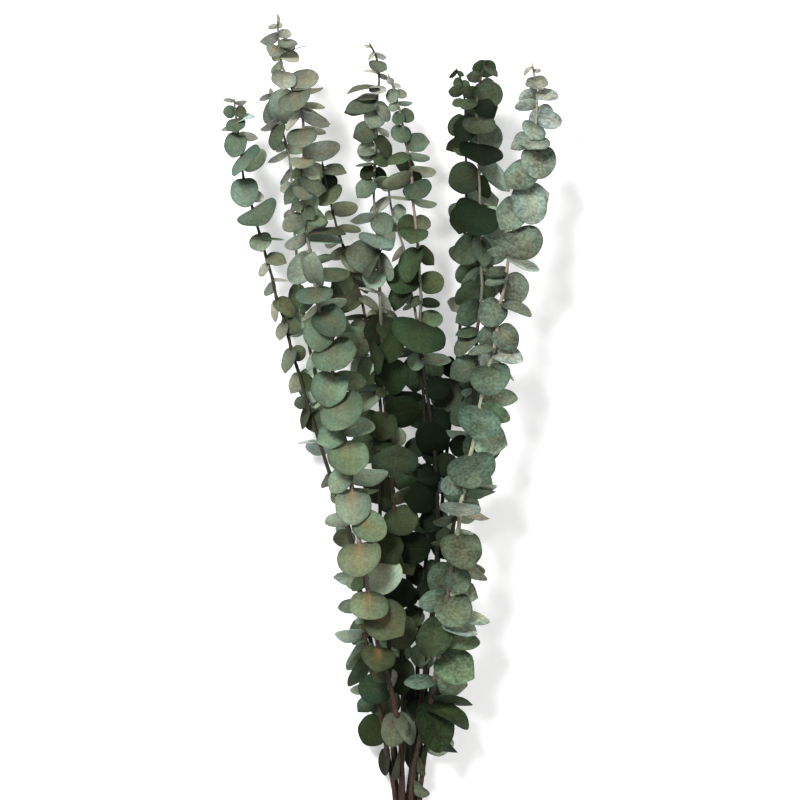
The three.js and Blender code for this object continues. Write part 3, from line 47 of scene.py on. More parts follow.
# leaf tones (linear) from the darkest to the palest, and tints over them; the darkest levels, given to leaves deep in
# the bunch, are partly their own dark green and partly painted shade
LEVELS = [(0.0017, 0.0029, 0.0012), (0.0034, 0.0057, 0.0024), (0.0063, 0.0103, 0.0044), (0.0107, 0.0171, 0.0074), (0.0168, 0.0260, 0.0116), (0.0245, 0.0371, 0.0175), (0.0350, 0.0513, 0.0258), (0.0486, 0.0685, 0.0376), (0.0663, 0.0895, 0.0539), (0.0861, 0.1140, 0.0713), (0.1099, 0.1425, 0.0928), (0.1399, 0.1771, 0.1195), (0.1775, 0.2183, 0.1538), (0.2265, 0.2690, 0.2006), (0.2881, 0.3284, 0.2614), (0.3667, 0.4025, 0.3345), (0.4657, 0.4896, 0.4265), (0.5665, 0.5901, 0.5193)]
TINTS = [
    (0.880, 1.048, 0.880),  # deep yellowed
    (0.872, 1.038, 0.997),  # deep green
    (0.864, 1.029, 1.111),  # deep blue
    (0.947, 1.029, 0.865),  # cool yellowed
    (0.939, 1.020, 0.979),  # cool green
    (0.930, 1.011, 1.092),  # cool blue
    (1.012, 1.012, 0.850),  # even yellowed
    (1.003, 1.003, 0.963),  # even green
    (0.994, 0.994, 1.074),  # even blue
    (1.074, 0.995, 0.835),  # warm yellowed
    (1.065, 0.986, 0.947),  # warm green
    (1.056, 0.978, 1.056),  # warm blue
    (1.135, 0.978, 0.822),  # rosy yellowed
    (1.125, 0.970, 0.931),  # rosy green
    (1.116, 0.962, 1.039),  # rosy blue
]
# twig: a tone for each control point; the near-black stretches where a twig runs inside the bunch are painted shade
# leaves: [place in control points, yaw, pitch, roll, length, width, arch, cup,
# level, family, rust on the midrib, strength of mottling]
STEMS = [
    {
        "name": "leafy_stem_01", "slot": "sage_foliage",
        "points": [[-127.0, 231.1, 44.0], [-124.9, 210.7, 42.0], [-121.9, 190.2, 40.0], [-119.7, 168.8, 38.0], [-113.6, 148.2, 37.0], [-108.3, 129.1, 36.0], [-103.0, 110.7, 35.0], [-97.7, 91.5, 34.0], [-94.6, 76.9, 33.0], [-88.5, 60.0, 32.0], [-83.9, 40.0, 31.0], [-77.8, 20.0, 30.0], [-70.1, -6.9, 29.0], [-57.1, -47.8, 27.0], [-46.3, -81.0, 26.0], [-37.0, -111.9, 26.0], [-32.4, -138.9, 26.0], [-29.3, -169.9, 25.0], [-23.2, -204.7, 24.0], [-15.5, -239.7, 22.0], [-10.1, -271.1, 18.0], [-3.9, -310.7, 12.0], [-4.7, -349.9, 9.5], [-5.4, -371.9, 8.0]],
        "radii": [0.55, 0.81, 0.88, 0.94, 0.99, 1.04, 1.09, 1.13, 1.17, 1.21, 1.25, 1.29, 1.35, 1.44, 1.50, 1.57, 1.62, 1.68, 1.74, 1.81, 1.86, 1.93, 2.00, 2.04],
        "twig": [(0.163, 0.166, 0.130), (0.107, 0.102, 0.078), (0.055, 0.043, 0.030), (0.053, 0.043, 0.030), (0.051, 0.043, 0.029), (0.050, 0.042, 0.029), (0.048, 0.042, 0.029), (0.046, 0.042, 0.028), (0.045, 0.042, 0.028), (0.045, 0.042, 0.028), (0.045, 0.042, 0.028), (0.045, 0.042, 0.028), (0.045, 0.042, 0.028), (0.045, 0.042, 0.028), (0.046, 0.042, 0.028), (0.048, 0.042, 0.029), (0.050, 0.042, 0.029), (0.051, 0.043, 0.029), (0.053, 0.043, 0.030), (0.056, 0.042, 0.030), (0.058, 0.039, 0.029), (0.062, 0.036, 0.028), (0.062, 0.036, 0.028), (0.062, 0.036, 0.028)],
        "leaves": [
            [0.12, 173.1, 10.0, -60.6, 8.9, 6.2, -0.039, -0.010, 16, 4, 0.0, 0.8],
            [0.19, 9.4, 10.0, 68.7, 9.8, 8.4, 0.064, 0.044, 16, 7, 0.0, 0.8],
            [0.50, -177.7, 11.4, -11.4, 9.7, 10.2, 0.043, -0.005, 9, 5, 0.0, 0.8],
            [0.50, -2.5, 11.4, 11.4, 9.0, 9.4, 0.042, 0.020, 8, 11, 0.0, 0.8],
            [0.88, 14.1, 10.0, -61.2, 14.8, 12.7, 0.060, 0.059, 16, 2, 0.0, 0.8],
            [0.75, -90.7, 33.9, 11.4, 14.5, 15.6, 0.028, -0.026, 9, 5, 0.0, 0.8],
            [1.19, 179.8, -10.0, 61.3, 13.0, 11.2, 0.046, 0.053, 11, 11, 0.0, 0.8],
            [1.31, -102.0, 10.0, -0.0, 19.6, 16.9, 0.046, -0.008, 10, 5, 0.0, 0.8],
            [1.38, -8.5, -10.0, 62.4, 15.4, 13.2, 0.030, -0.012, 16, 10, 0.0, 0.8],
            [2.12, -54.6, 62.6, 11.4, 27.6, 29.7, -0.012, -0.016, 10, 2, 0.0, 0.8],
            [2.94, -85.5, 10.0, 0.0, 23.2, 21.5, 0.064, 0.046, 11, 5, 0.0, 0.8],
            [3.62, 0.2, -10.0, -24.9, 11.8, 10.2, 0.057, 0.019, 16, 7, 0.0, 0.8],
            [4.06, -48.4, 56.7, -11.4, 30.6, 32.9, 0.064, 0.024, 9, 5, 0.0, 0.8],
            [5.06, -79.6, 24.9, 11.4, 16.8, 18.0, 0.039, -0.016, 12, 4, 0.0, 0.8],
            [5.25, -4.8, 10.0, -78.7, 18.2, 15.7, -0.023, 0.023, 11, 0, 0.0, 0.8],
            [6.06, -14.9, 10.0, -41.1, 16.6, 14.3, 0.052, -0.016, 11, 10, 0.0, 0.8],
            [6.31, -127.6, -10.0, 47.4, 11.9, 10.2, 0.032, -0.021, 13, 11, 0.0, 0.8],
            [6.94, -1.5, -10.0, -72.7, 12.0, 10.3, 0.031, -0.003, 14, 14, 0.0, 0.8],
            [7.06, -121.4, -10.0, -49.9, 12.5, 10.7, 0.053, 0.046, 16, 4, 0.0, 0.8],
            [7.94, -43.1, 10.0, -35.1, 18.6, 16.0, 0.065, -0.017, 9, 12, 0.0, 0.8],
            [8.00, -95.2, -10.0, 62.2, 17.3, 14.8, 0.066, -0.014, 13, 13, 0.0, 0.8],
            [9.00, -104.7, 10.0, 40.6, 15.4, 12.2, 0.052, 0.004, 11, 14, 0.0, 0.8],
            [9.00, -28.6, 22.0, -6.1, 15.2, 12.4, 0.032, 0.049, 8, 7, 0.0, 0.8],
            [9.56, 23.3, -10.2, -63.9, 14.3, 12.3, 0.047, 0.038, 16, 3, 0.0, 0.8],
            [10.00, -100.9, 10.0, 52.7, 20.7, 17.8, 0.039, -0.019, 10, 11, 0.0, 0.8],
            [10.06, -28.6, -11.4, -11.4, 12.1, 12.6, 0.053, 0.017, 9, 10, 0.0, 0.8],
            [11.00, -111.8, 10.0, -41.9, 16.8, 14.5, 0.037, 0.032, 15, 6, 0.0, 0.8],
            [11.00, -45.0, -10.0, 19.1, 13.3, 11.4, -0.028, 0.052, 7, 6, 0.0, 0.8],
            [11.81, -163.3, 10.0, 0.0, 10.3, 10.0, 0.067, 0.038, 8, 14, 0.0, 0.8],
            [12.00, -108.4, -14.8, 61.9, 17.6, 14.7, 0.027, 0.043, 6, 12, 0.0, 0.8],
            [12.00, -70.2, -10.1, 30.5, 20.8, 17.9, -0.031, 0.016, 8, 8, 0.0, 0.8],
            [12.12, 33.6, 10.0, 70.7, 13.5, 11.7, 0.031, 0.003, 11, 0, 0.0, 0.8],
            [12.62, -177.6, -10.0, 78.3, 17.7, 15.2, -0.022, 0.022, 16, 8, 0.0, 0.8],
            [12.62, -111.7, -48.8, -7.1, 17.6, 18.7, -0.020, 0.010, 16, 2, 0.0, 0.8],
            [13.25, -116.6, -10.0, -53.5, 13.6, 11.7, 0.046, 0.051, 16, 6, 0.0, 0.8],
            [13.56, -90.6, -10.0, -47.9, 13.4, 11.5, 0.049, 0.049, 15, 0, 0.0, 0.8],
            [14.25, -155.8, 10.0, 60.8, 16.6, 14.2, 0.066, 0.009, 15, 6, 0.0, 0.8],
            [14.62, -115.9, -28.4, -11.4, 16.1, 17.3, 0.068, 0.043, 9, 10, 0.0, 0.8],
            [15.88, -176.3, -10.0, -49.0, 19.2, 16.5, 0.056, 0.057, 16, 1, 0.0, 0.8],
            [15.88, -110.3, -24.4, -20.5, 13.2, 14.8, 0.040, -0.025, 15, 3, 0.0, 0.8],
            [16.62, -170.9, 10.0, 44.8, 17.7, 15.2, -0.039, -0.020, 10, 8, 0.0, 0.8],
            [17.31, -179.4, 10.1, -46.9, 22.9, 16.9, 0.044, 0.029, 16, 1, 0.0, 0.8],
            [17.00, -111.8, -19.7, -14.0, 17.7, 14.3, 0.068, 0.027, 11, 7, 0.0, 0.8],
            [17.75, -117.3, -10.0, -59.8, 30.3, 26.1, 0.029, 0.007, 10, 0, 0.0, 0.8],
            [18.44, -168.3, 10.0, -56.5, 19.5, 16.8, 0.061, -0.020, 16, 0, 0.0, 0.8],
            [18.69, -138.7, -10.0, -35.5, 19.9, 17.1, -0.036, 0.017, 10, 1, 0.0, 0.8],
            [19.19, -122.6, -7.6, 11.0, 25.3, 23.6, 0.022, -0.028, 5, 6, 0.0, 0.6],
            [20.00, -96.6, -10.0, 58.3, 20.6, 17.7, 0.032, 0.021, 3, 12, 0.0, 0.6],
            [17.50, -118.9, -10.8, -58.4, 26.8, 25.3, 0.037, 0.007, 16, 0, 0.0, 0.8],
            [2.50, 30.5, -10.0, 45.1, 21.5, 18.5, 0.053, 0.032, 15, 0, 0.0, 0.8],
        ],
    },
    {
        "name": "leafy_stem_02", "slot": "sage_foliage",
        "points": [[-93.4, 293.0, 62.0], [-90.3, 258.0, 62.0], [-82.7, 238.3, 62.0], [-74.4, 217.1, 62.0], [-72.9, 185.9, 62.0], [-72.9, 151.8, 62.0], [-70.6, 125.2, 62.0], [-66.0, 102.5, 62.0], [-62.2, 72.1, 62.0], [-54.6, 37.9, 62.0], [-47.1, 0.0, 62.0], [-41.7, -31.1, 62.0], [-36.4, -67.6, 61.0], [-31.1, -106.4, 60.0], [-23.6, -148.3, 58.0], [-16.0, -190.6, 52.0], [-7.7, -218.1, 44.0], [-2.3, -244.3, 36.0], [0.8, -270.1, 26.0], [2.3, -306.7, 18.0], [3.1, -349.0, 15.5], [3.1, -381.1, 13.5]],
        "radii": [0.55, 0.84, 0.90, 0.95, 1.03, 1.10, 1.16, 1.21, 1.27, 1.33, 1.40, 1.46, 1.53, 1.60, 1.67, 1.74, 1.79, 1.83, 1.87, 1.92, 1.99, 2.04],
        "twig": [(0.180, 0.185, 0.145), (0.180, 0.185, 0.145), (0.180, 0.185, 0.145), (0.180, 0.185, 0.145), (0.180, 0.185, 0.145), (0.180, 0.185, 0.145), (0.180, 0.185, 0.145), (0.180, 0.185, 0.145), (0.180, 0.185, 0.145), (0.146, 0.146, 0.114), (0.089, 0.082, 0.061), (0.090, 0.071, 0.054), (0.245, 0.192, 0.156), (0.220, 0.173, 0.140), (0.138, 0.108, 0.085), (0.055, 0.043, 0.030), (0.058, 0.039, 0.029), (0.062, 0.036, 0.028), (0.062, 0.036, 0.028), (0.062, 0.036, 0.028), (0.062, 0.036, 0.028), (0.062, 0.036, 0.028)],
        "leaves": [
            [0.25, 89.3, 10.0, 73.3, 9.2, 7.9, 0.050, 0.031, 16, 9, 0.0, 0.8],
            [0.25, -168.4, 10.0, 33.0, 7.8, 5.4, -0.021, 0.018, 13, 11, 0.0, 0.8],
            [0.25, 10.7, 23.2, -11.4, 4.3, 4.6, 0.053, -0.013, 14, 14, 0.0, 0.8],
            [0.44, -157.1, 10.0, -62.8, 15.4, 13.3, -0.013, 0.056, 16, 8, 0.0, 0.8],
            [0.38, -11.8, 10.0, -26.4, 10.8, 9.3, 0.023, -0.001, 13, 14, 0.0, 0.8],
            [0.56, -8.1, 10.0, -54.7, 14.9, 14.1, -0.031, -0.002, 12, 14, 0.0, 0.8],
            [0.69, -133.2, 37.3, 13.2, 13.0, 14.0, 0.060, 0.039, 12, 14, 0.0, 0.8],
            [0.81, -23.7, 10.0, -39.8, 16.1, 13.8, 0.030, 0.027, 16, 6, 0.0, 0.8],
            [0.88, 20.2, 10.0, -81.1, 22.8, 19.6, 0.025, 0.027, 5, 13, 0.0, 0.8],
            [1.06, -134.0, 10.0, -52.5, 11.6, 10.0, 0.060, 0.035, 16, 0, 0.0, 0.8],
            [1.38, -93.6, 32.9, -11.4, 18.0, 19.4, 0.065, -0.028, 13, 11, 0.0, 0.8],
            [1.88, 9.5, 12.1, -32.1, 23.1, 19.7, 0.031, 0.055, 11, 14, 0.0, 0.8],
            [2.12, 2.5, -10.0, 81.4, 23.6, 20.3, 0.033, 0.029, 16, 6, 0.0, 0.8],
            [2.19, -75.1, 44.9, 11.4, 24.5, 26.3, 0.039, 0.030, 10, 14, 0.2, 0.8],
            [2.75, 0.1, -10.0, -65.8, 19.4, 16.7, 0.039, 0.019, 14, 9, 0.0, 0.8],
            [2.94, -26.4, 10.0, 73.2, 24.5, 21.0, 0.032, 0.011, 16, 7, 0.0, 0.8],
            [2.94, -129.1, 10.0, 65.3, 19.0, 16.3, 0.058, -0.003, 14, 10, 0.0, 0.8],
            [3.38, -96.0, 46.8, 11.4, 24.2, 23.2, 0.058, -0.018, 10, 14, 0.2, 0.8],
            [3.38, -11.9, -10.0, 69.6, 17.7, 15.2, -0.014, -0.006, 16, 7, 0.0, 0.8],
            [4.00, 15.5, 10.0, 58.6, 28.8, 24.8, 0.062, -0.013, 15, 7, 0.2, 0.8],
            [4.06, -102.9, 54.9, 11.4, 18.0, 19.4, 0.064, 0.034, 12, 13, 0.0, 0.8],
            [4.31, -143.6, -10.0, -25.0, 11.5, 10.0, -0.034, 0.044, 9, 3, 0.0, 0.8],
            [4.31, -29.1, -10.0, -35.4, 14.1, 12.1, 0.039, 0.017, 15, 3, 0.0, 0.8],
            [4.50, -127.3, -10.0, -56.1, 25.3, 21.8, 0.030, 0.018, 15, 0, 0.0, 0.8],
            [4.44, -53.2, 10.0, -39.0, 19.3, 16.6, 0.065, -0.013, 9, 11, 0.0, 0.8],
            [4.69, -97.3, 45.7, -11.4, 15.8, 17.0, 0.052, 0.060, 11, 11, 0.0, 0.8],
            [4.88, -45.1, -10.0, -0.0, 14.3, 12.9, -0.037, 0.006, 12, 4, 0.0, 0.8],
            [5.06, -146.9, 10.0, 45.6, 12.0, 9.8, -0.018, 0.038, 9, 11, 0.0, 0.8],
            [5.19, -52.8, 10.0, -0.0, 12.3, 10.6, 0.042, 0.008, 8, 7, 0.0, 0.8],
            [5.50, -154.5, 10.0, 27.4, 18.9, 16.2, 0.062, 0.005, 10, 14, 0.0, 0.8],
            [5.62, 1.8, -10.0, -50.2, 16.6, 14.2, 0.056, 0.045, 11, 4, 0.0, 0.8],
            [6.00, -0.0, 10.0, -74.7, 30.1, 25.8, 0.039, 0.038, 7, 14, 0.2, 0.8],
            [6.19, -3.6, -10.0, -72.9, 27.1, 23.3, 0.027, 0.044, 16, 0, 0.2, 0.8],
            [6.00, -151.4, 10.0, -56.7, 19.3, 16.6, 0.026, 0.059, 16, 4, 0.0, 0.8],
            [6.56, -172.8, -10.0, 68.3, 9.5, 8.2, 0.029, 0.010, 15, 14, 0.0, 0.8],
            [6.75, -130.6, 10.0, -29.9, 25.5, 21.9, -0.018, -0.010, 14, 4, 0.0, 0.8],
            [6.94, 20.2, -10.0, -59.8, 17.5, 15.1, 0.023, -0.027, 9, 11, 0.0, 0.8],
            [7.25, 1.9, 10.0, 65.4, 27.6, 23.7, 0.036, 0.011, 14, 3, 0.2, 0.8],
            [7.56, -94.5, 56.4, 11.4, 26.6, 28.6, -0.042, 0.052, 10, 5, 0.2, 0.8],
            [7.69, -128.9, -10.0, 53.9, 21.0, 18.1, 0.040, -0.019, 6, 0, 0.0, 0.8],
            [8.00, 9.8, 10.0, 64.7, 22.7, 19.5, 0.045, -0.014, 16, 0, 0.0, 0.8],
            [8.06, -135.3, 10.0, -58.3, 16.8, 14.4, 0.044, 0.030, 16, 6, 0.0, 0.8],
            [8.25, -93.4, 15.5, -2.5, 28.6, 24.3, 0.046, 0.016, 10, 4, 0.2, 0.8],
            [8.31, -20.6, -10.0, -61.1, 27.4, 23.5, 0.047, 0.041, 11, 0, 0.2, 0.8],
            [8.88, -53.7, 42.3, -11.4, 31.7, 34.1, 0.029, -0.020, 10, 4, 0.2, 0.8],
            [9.00, -139.2, -10.0, 61.2, 22.4, 20.5, 0.067, 0.057, 12, 8, 0.0, 0.8],
            [9.44, -99.0, 11.4, 11.4, 27.4, 27.9, 0.045, 0.052, 11, 1, 0.2, 0.8],
            [9.56, -8.0, -10.0, 45.2, 25.0, 21.5, 0.036, -0.024, 10, 6, 0.0, 0.8],
            [9.94, -70.6, 43.4, 11.4, 33.1, 35.6, -0.026, 0.038, 10, 4, 0.2, 0.8],
            [10.75, -154.5, 10.0, 10.2, 22.5, 19.3, 0.058, 0.046, 11, 1, 0.0, 0.8],
            [10.75, 9.8, -10.0, -47.4, 24.8, 21.3, 0.057, -0.015, 15, 0, 0.0, 0.8],
            [11.00, -78.4, 27.1, -11.4, 29.6, 31.7, -0.017, 0.024, 11, 3, 0.2, 0.8],
            [11.62, -131.6, -5.8, 29.9, 22.2, 19.3, 0.067, 0.016, 12, 4, 0.0, 0.8],
            [11.69, -3.2, -14.4, 55.3, 29.9, 25.3, 0.068, 0.042, 16, 0, 0.2, 0.8],
            [12.00, -4.2, -10.0, 75.3, 20.9, 18.0, 0.060, 0.028, 11, 9, 0.0, 0.8],
            [12.00, -86.8, 10.0, -0.0, 27.8, 27.3, 0.042, 0.032, 12, 7, 0.8, 0.8],
            [12.50, -157.6, -30.0, -52.0, 27.3, 21.0, 0.037, -0.011, 16, 3, 0.0, 0.8],
            [12.56, -32.6, 10.0, -0.0, 26.8, 23.5, 0.058, 0.036, 11, 3, 0.8, 0.8],
            [13.06, -89.2, 40.6, 11.4, 31.7, 34.1, 0.068, 0.007, 11, 9, 0.8, 0.8],
            [13.62, -124.2, -10.0, -41.9, 16.6, 14.3, 0.046, -0.022, 12, 0, 0.0, 0.8],
            [13.94, -84.3, 42.5, -11.4, 27.4, 29.5, -0.029, -0.026, 11, 9, 0.8, 0.8],
            [14.38, -162.8, -10.0, 56.2, 14.3, 12.3, 0.052, -0.023, 11, 4, 0.0, 0.8],
            [14.94, -93.4, 44.7, -11.4, 24.6, 26.4, 0.031, 0.049, 7, 12, 0.8, 0.8],
            [15.69, -175.7, -11.6, 11.4, 11.6, 12.5, -0.026, 0.034, 7, 14, 0.0, 0.8],
            [16.88, -99.4, 11.8, -17.9, 25.5, 21.8, 0.060, 0.026, 10, 13, 0.0, 0.8],
            [16.94, -58.2, -10.0, -56.2, 25.7, 22.1, 0.054, 0.007, 12, 10, 0.0, 0.8],
            [18.06, -109.0, 10.0, -68.5, 24.5, 21.1, 0.040, 0.004, 10, 14, 0.0, 0.8],
            [0.62, -60.2, -67.3, -2.4, 23.8, 20.5, 0.055, 0.049, 15, 12, 0.0, 0.8],
            [2.81, -30.7, -10.2, 70.0, 26.3, 24.9, 0.043, 0.014, 16, 13, 0.2, 0.8],
            [8.12, -45.1, 30.1, -3.7, 29.1, 24.3, 0.045, 0.057, 8, 5, 0.2, 0.8],
            [7.50, 90.4, 34.8, -36.1, 29.4, 19.4, 0.068, -0.012, 12, 8, 0.0, 0.8],
            [14.25, -38.4, 11.2, -11.9, 31.7, 32.7, 0.036, 0.044, 8, 12, 0.8, 0.8],
        ],
    },
    {
        "name": "leafy_stem_03", "slot": "deep_foliage",
        "points": [[-100.2, 240.5, 29.0], [-97.9, 228.2, 28.0], [-91.8, 212.0, 28.0], [-86.4, 191.3, 27.0], [-84.1, 175.9, 27.0], [-82.6, 146.6, 26.0], [-80.3, 115.8, 25.0], [-77.2, 85.0, 24.0], [-71.1, 46.4, 22.0], [-61.9, 3.9, 21.0], [-52.6, -38.7, 20.0], [-43.4, -81.3, 19.0], [-35.6, -120.1, 18.0], [-27.9, -162.7, 17.0], [-18.6, -205.7, 13.0], [-9.3, -249.0, 8.0], [-1.6, -284.3, 5.5], [3.1, -311.8, 4.2], [3.1, -350.9, 3.2], [2.7, -365.8, 2.9]],
        "radii": [0.55, 0.78, 0.84, 0.90, 0.94, 1.02, 1.10, 1.17, 1.25, 1.35, 1.43, 1.52, 1.59, 1.68, 1.76, 1.83, 1.90, 1.95, 2.01, 2.04],
        "twig": [(0.180, 0.185, 0.145), (0.180, 0.185, 0.145), (0.180, 0.185, 0.145), (0.180, 0.185, 0.145), (0.180, 0.185, 0.145), (0.169, 0.173, 0.135), (0.124, 0.125, 0.096), (0.079, 0.078, 0.057), (0.037, 0.036, 0.024), (0.017, 0.018, 0.011), (0.015, 0.016, 0.010), (0.015, 0.016, 0.010), (0.015, 0.016, 0.010), (0.015, 0.016, 0.010), (0.015, 0.016, 0.010), (0.022, 0.022, 0.015), (0.039, 0.037, 0.025), (0.048, 0.041, 0.028), (0.055, 0.038, 0.028), (0.058, 0.038, 0.028)],
        "leaves": [
            [0.50, 98.8, 10.0, 43.7, 6.1, 4.3, 0.058, 0.000, 15, 11, 0.0, 0.8],
            [0.50, -160.5, 10.0, -63.7, 10.1, 8.7, -0.023, 0.041, 16, 8, 0.0, 0.8],
            [0.62, 26.0, 10.0, 48.2, 8.3, 5.8, 0.056, 0.005, 16, 7, 0.0, 0.8],
            [1.00, -109.3, 1.7, -42.0, 16.3, 14.5, 0.049, 0.030, 12, 8, 0.0, 0.8],
            [1.75, -146.7, -10.0, -71.3, 16.8, 14.5, 0.049, -0.013, 16, 8, 0.0, 0.8],
            [1.44, -21.7, 10.0, 39.5, 11.6, 10.0, 0.035, 0.060, 11, 5, 0.0, 0.8],
            [1.94, -101.4, 10.0, 52.2, 21.9, 18.9, 0.042, 0.022, 8, 8, 0.0, 0.8],
            [3.00, -151.2, -10.0, -75.5, 17.9, 15.4, 0.064, -0.006, 16, 4, 0.0, 0.8],
            [2.62, -134.5, -10.0, -48.6, 10.8, 9.3, 0.045, -0.023, 16, 8, 0.0, 0.8],
            [3.88, -122.6, -16.2, -72.3, 15.2, 12.7, 0.036, -0.012, 16, 8, 0.0, 0.8],
            [4.38, -155.4, -9.7, 0.0, 10.1, 9.3, -0.037, 0.013, 13, 11, 0.0, 0.8],
            [5.00, -138.4, -10.0, -40.5, 9.4, 8.1, 0.043, 0.019, 16, 14, 0.0, 0.8],
            [6.88, -96.9, -10.0, 48.5, 21.7, 18.7, 0.036, 0.039, 7, 3, 0.0, 0.8],
            [9.12, -113.2, -10.0, 18.0, 18.9, 16.3, -0.034, 0.010, 15, 0, 0.0, 0.8],
            [11.50, -132.4, -49.6, 11.4, 16.2, 17.4, 0.054, 0.028, 16, 0, 0.0, 0.8],
            [13.25, -125.0, -10.0, 27.9, 20.4, 17.6, 0.052, 0.013, 9, 0, 0.0, 0.8],
            [14.38, -76.1, -0.0, 1.0, 26.4, 24.9, 0.051, -0.012, 13, 6, 0.0, 0.8],
            [9.06, 119.6, -10.0, 0.0, 26.6, 24.8, 0.055, 0.035, 15, 0, 0.0, 0.8],
            [5.31, 0.6, -10.0, 0.0, 26.8, 24.7, 0.046, -0.008, 12, 6, 0.0, 0.8],
            [1.88, 74.5, 34.4, -2.1, 30.0, 24.7, 0.058, -0.028, 12, 8, 0.0, 0.8],
            [7.50, -134.4, -10.0, 0.0, 21.9, 20.9, -0.034, -0.007, 16, 0, 0.0, 0.8],
            [2.81, 0.7, -10.0, 47.5, 17.3, 14.9, -0.019, -0.020, 15, 6, 0.0, 0.8],
        ],
    },
    {
        "name": "leafy_stem_04", "slot": "deep_foliage",
        "points": [[-59.8, 183.9, 42.0], [-57.5, 170.1, 42.0], [-52.9, 150.1, 42.0], [-48.3, 131.8, 42.0], [-42.9, 116.5, 41.0], [-36.8, 96.6, 40.0], [-29.9, 78.2, 40.0], [-26.1, 59.8, 39.0], [-21.5, 33.8, 38.0], [-16.9, 9.2, 37.0], [-14.6, -9.2, 37.0], [-14.6, -38.4, 37.0], [-15.4, -76.8, 37.0], [-15.3, -107.4, 38.0], [-14.6, -125.1, 38.0], [-11.5, -152.0, 37.0], [-9.2, -169.1, 35.0], [-7.7, -206.5, 29.0], [-5.4, -239.8, 21.0], [-5.4, -271.7, 13.5], [-2.3, -311.6, 5.4], [-2.3, -350.9, 3.2], [-2.3, -387.7, 2.7]],
        "radii": [0.55, 0.79, 0.86, 0.92, 0.96, 1.02, 1.07, 1.11, 1.18, 1.24, 1.28, 1.35, 1.43, 1.50, 1.53, 1.59, 1.63, 1.70, 1.76, 1.82, 1.90, 1.97, 2.04],
        "twig": [(0.045, 0.042, 0.028), (0.045, 0.042, 0.028), (0.045, 0.042, 0.028), (0.045, 0.042, 0.028), (0.045, 0.042, 0.028), (0.045, 0.042, 0.028), (0.045, 0.042, 0.028), (0.045, 0.042, 0.028), (0.034, 0.032, 0.021), (0.020, 0.020, 0.013), (0.015, 0.016, 0.010), (0.015, 0.016, 0.010), (0.015, 0.016, 0.010), (0.015, 0.016, 0.010), (0.015, 0.016, 0.010), (0.015, 0.016, 0.010), (0.015, 0.016, 0.010), (0.024, 0.022, 0.015), (0.038, 0.032, 0.022), (0.052, 0.041, 0.028), (0.057, 0.041, 0.029), (0.059, 0.038, 0.029), (0.062, 0.036, 0.028)],
        "leaves": [
            [0.62, -5.7, 10.0, -50.6, 18.3, 15.7, 0.052, 0.057, 9, 14, 0.0, 0.8],
            [0.88, -45.3, -10.0, 0.0, 12.7, 11.5, 0.035, -0.024, 2, 0, 0.0, 0.6],
            [1.50, -65.2, 57.6, 11.4, 21.1, 22.7, 0.059, -0.012, 9, 9, 0.0, 0.8],
            [2.25, 7.2, 10.0, 51.5, 20.0, 17.2, -0.022, 0.014, 14, 9, 0.0, 0.8],
            [2.31, -133.5, -11.4, -11.4, 7.8, 7.8, 0.053, 0.039, 14, 6, 0.0, 0.8],
            [3.00, -9.5, 10.0, -64.9, 18.9, 16.3, 0.037, 0.009, 9, 13, 0.0, 0.8],
            [3.38, -144.2, -10.0, 26.4, 13.9, 12.0, 0.027, 0.028, 16, 7, 0.0, 0.8],
            [3.94, -62.1, 16.9, -42.8, 23.0, 19.8, 0.027, -0.005, 12, 13, 0.0, 0.8],
            [4.06, -146.6, -10.0, -43.4, 13.5, 11.6, 0.021, -0.015, 16, 9, 0.0, 0.8],
            [5.00, -134.4, -4.8, 0.0, 20.2, 17.6, 0.021, -0.015, 6, 12, 0.0, 0.8],
            [4.94, -21.7, -11.8, -52.1, 18.2, 16.2, 0.060, 0.026, 8, 12, 0.0, 0.8],
            [5.94, -135.1, 10.0, 56.1, 16.0, 13.8, -0.025, -0.016, 7, 13, 0.0, 0.8],
            [5.94, -37.7, 10.0, -62.2, 17.2, 14.8, 0.065, -0.026, 11, 14, 0.0, 0.8],
            [6.81, -172.9, 10.0, -76.9, 19.7, 16.9, -0.030, -0.011, 6, 13, 0.0, 0.8],
            [6.88, 7.3, -35.2, 68.4, 24.3, 18.7, 0.064, -0.002, 11, 12, 0.0, 0.8],
            [7.00, -135.0, -11.4, 11.4, 15.5, 15.6, -0.037, 0.059, 10, 13, 0.0, 0.8],
            [7.12, -46.4, -18.9, 6.5, 21.5, 20.1, 0.053, 0.021, 2, 0, 0.0, 0.6],
            [8.06, -102.9, 10.0, -16.4, 22.3, 19.2, 0.050, 0.016, 8, 3, 0.0, 0.8],
            [8.12, -145.2, -10.0, 24.8, 21.6, 18.6, 0.056, 0.008, 16, 0, 0.0, 0.8],
            [9.00, -171.3, -10.0, 69.9, 20.5, 19.4, 0.058, -0.023, 8, 0, 0.0, 0.8],
            [13.94, -84.3, 36.8, 11.4, 30.6, 32.9, 0.058, 0.037, 15, 3, 0.8, 0.8],
            [14.94, -6.1, -10.0, 22.3, 13.5, 11.6, 0.068, -0.012, 4, 14, 0.0, 0.6],
            [17.00, -114.4, -10.0, -0.0, 18.9, 17.0, 0.034, 0.047, 14, 13, 0.0, 0.8],
            [17.50, 60.3, 7.6, -20.9, 26.7, 26.5, 0.063, 0.046, 4, 7, 0.0, 0.6],
            [7.50, -165.5, -5.5, -9.0, 26.2, 24.9, 0.062, -0.015, 11, 6, 0.0, 0.8],
            [10.94, 179.5, -10.0, 0.0, 26.5, 24.6, -0.026, 0.055, 13, 0, 0.0, 0.8],
            [5.62, -150.5, -8.1, -0.5, 26.6, 24.5, 0.034, -0.000, 7, 14, 0.0, 0.8],
            [9.06, -147.6, -7.0, 48.7, 26.3, 23.3, -0.037, 0.030, 14, 3, 0.0, 0.8],
            [8.12, 18.0, 73.2, -8.1, 30.1, 24.8, 0.062, -0.013, 5, 6, 0.0, 0.6],
            [6.88, -15.7, -25.5, 11.8, 28.6, 25.1, 0.067, -0.005, 14, 9, 0.0, 0.8],
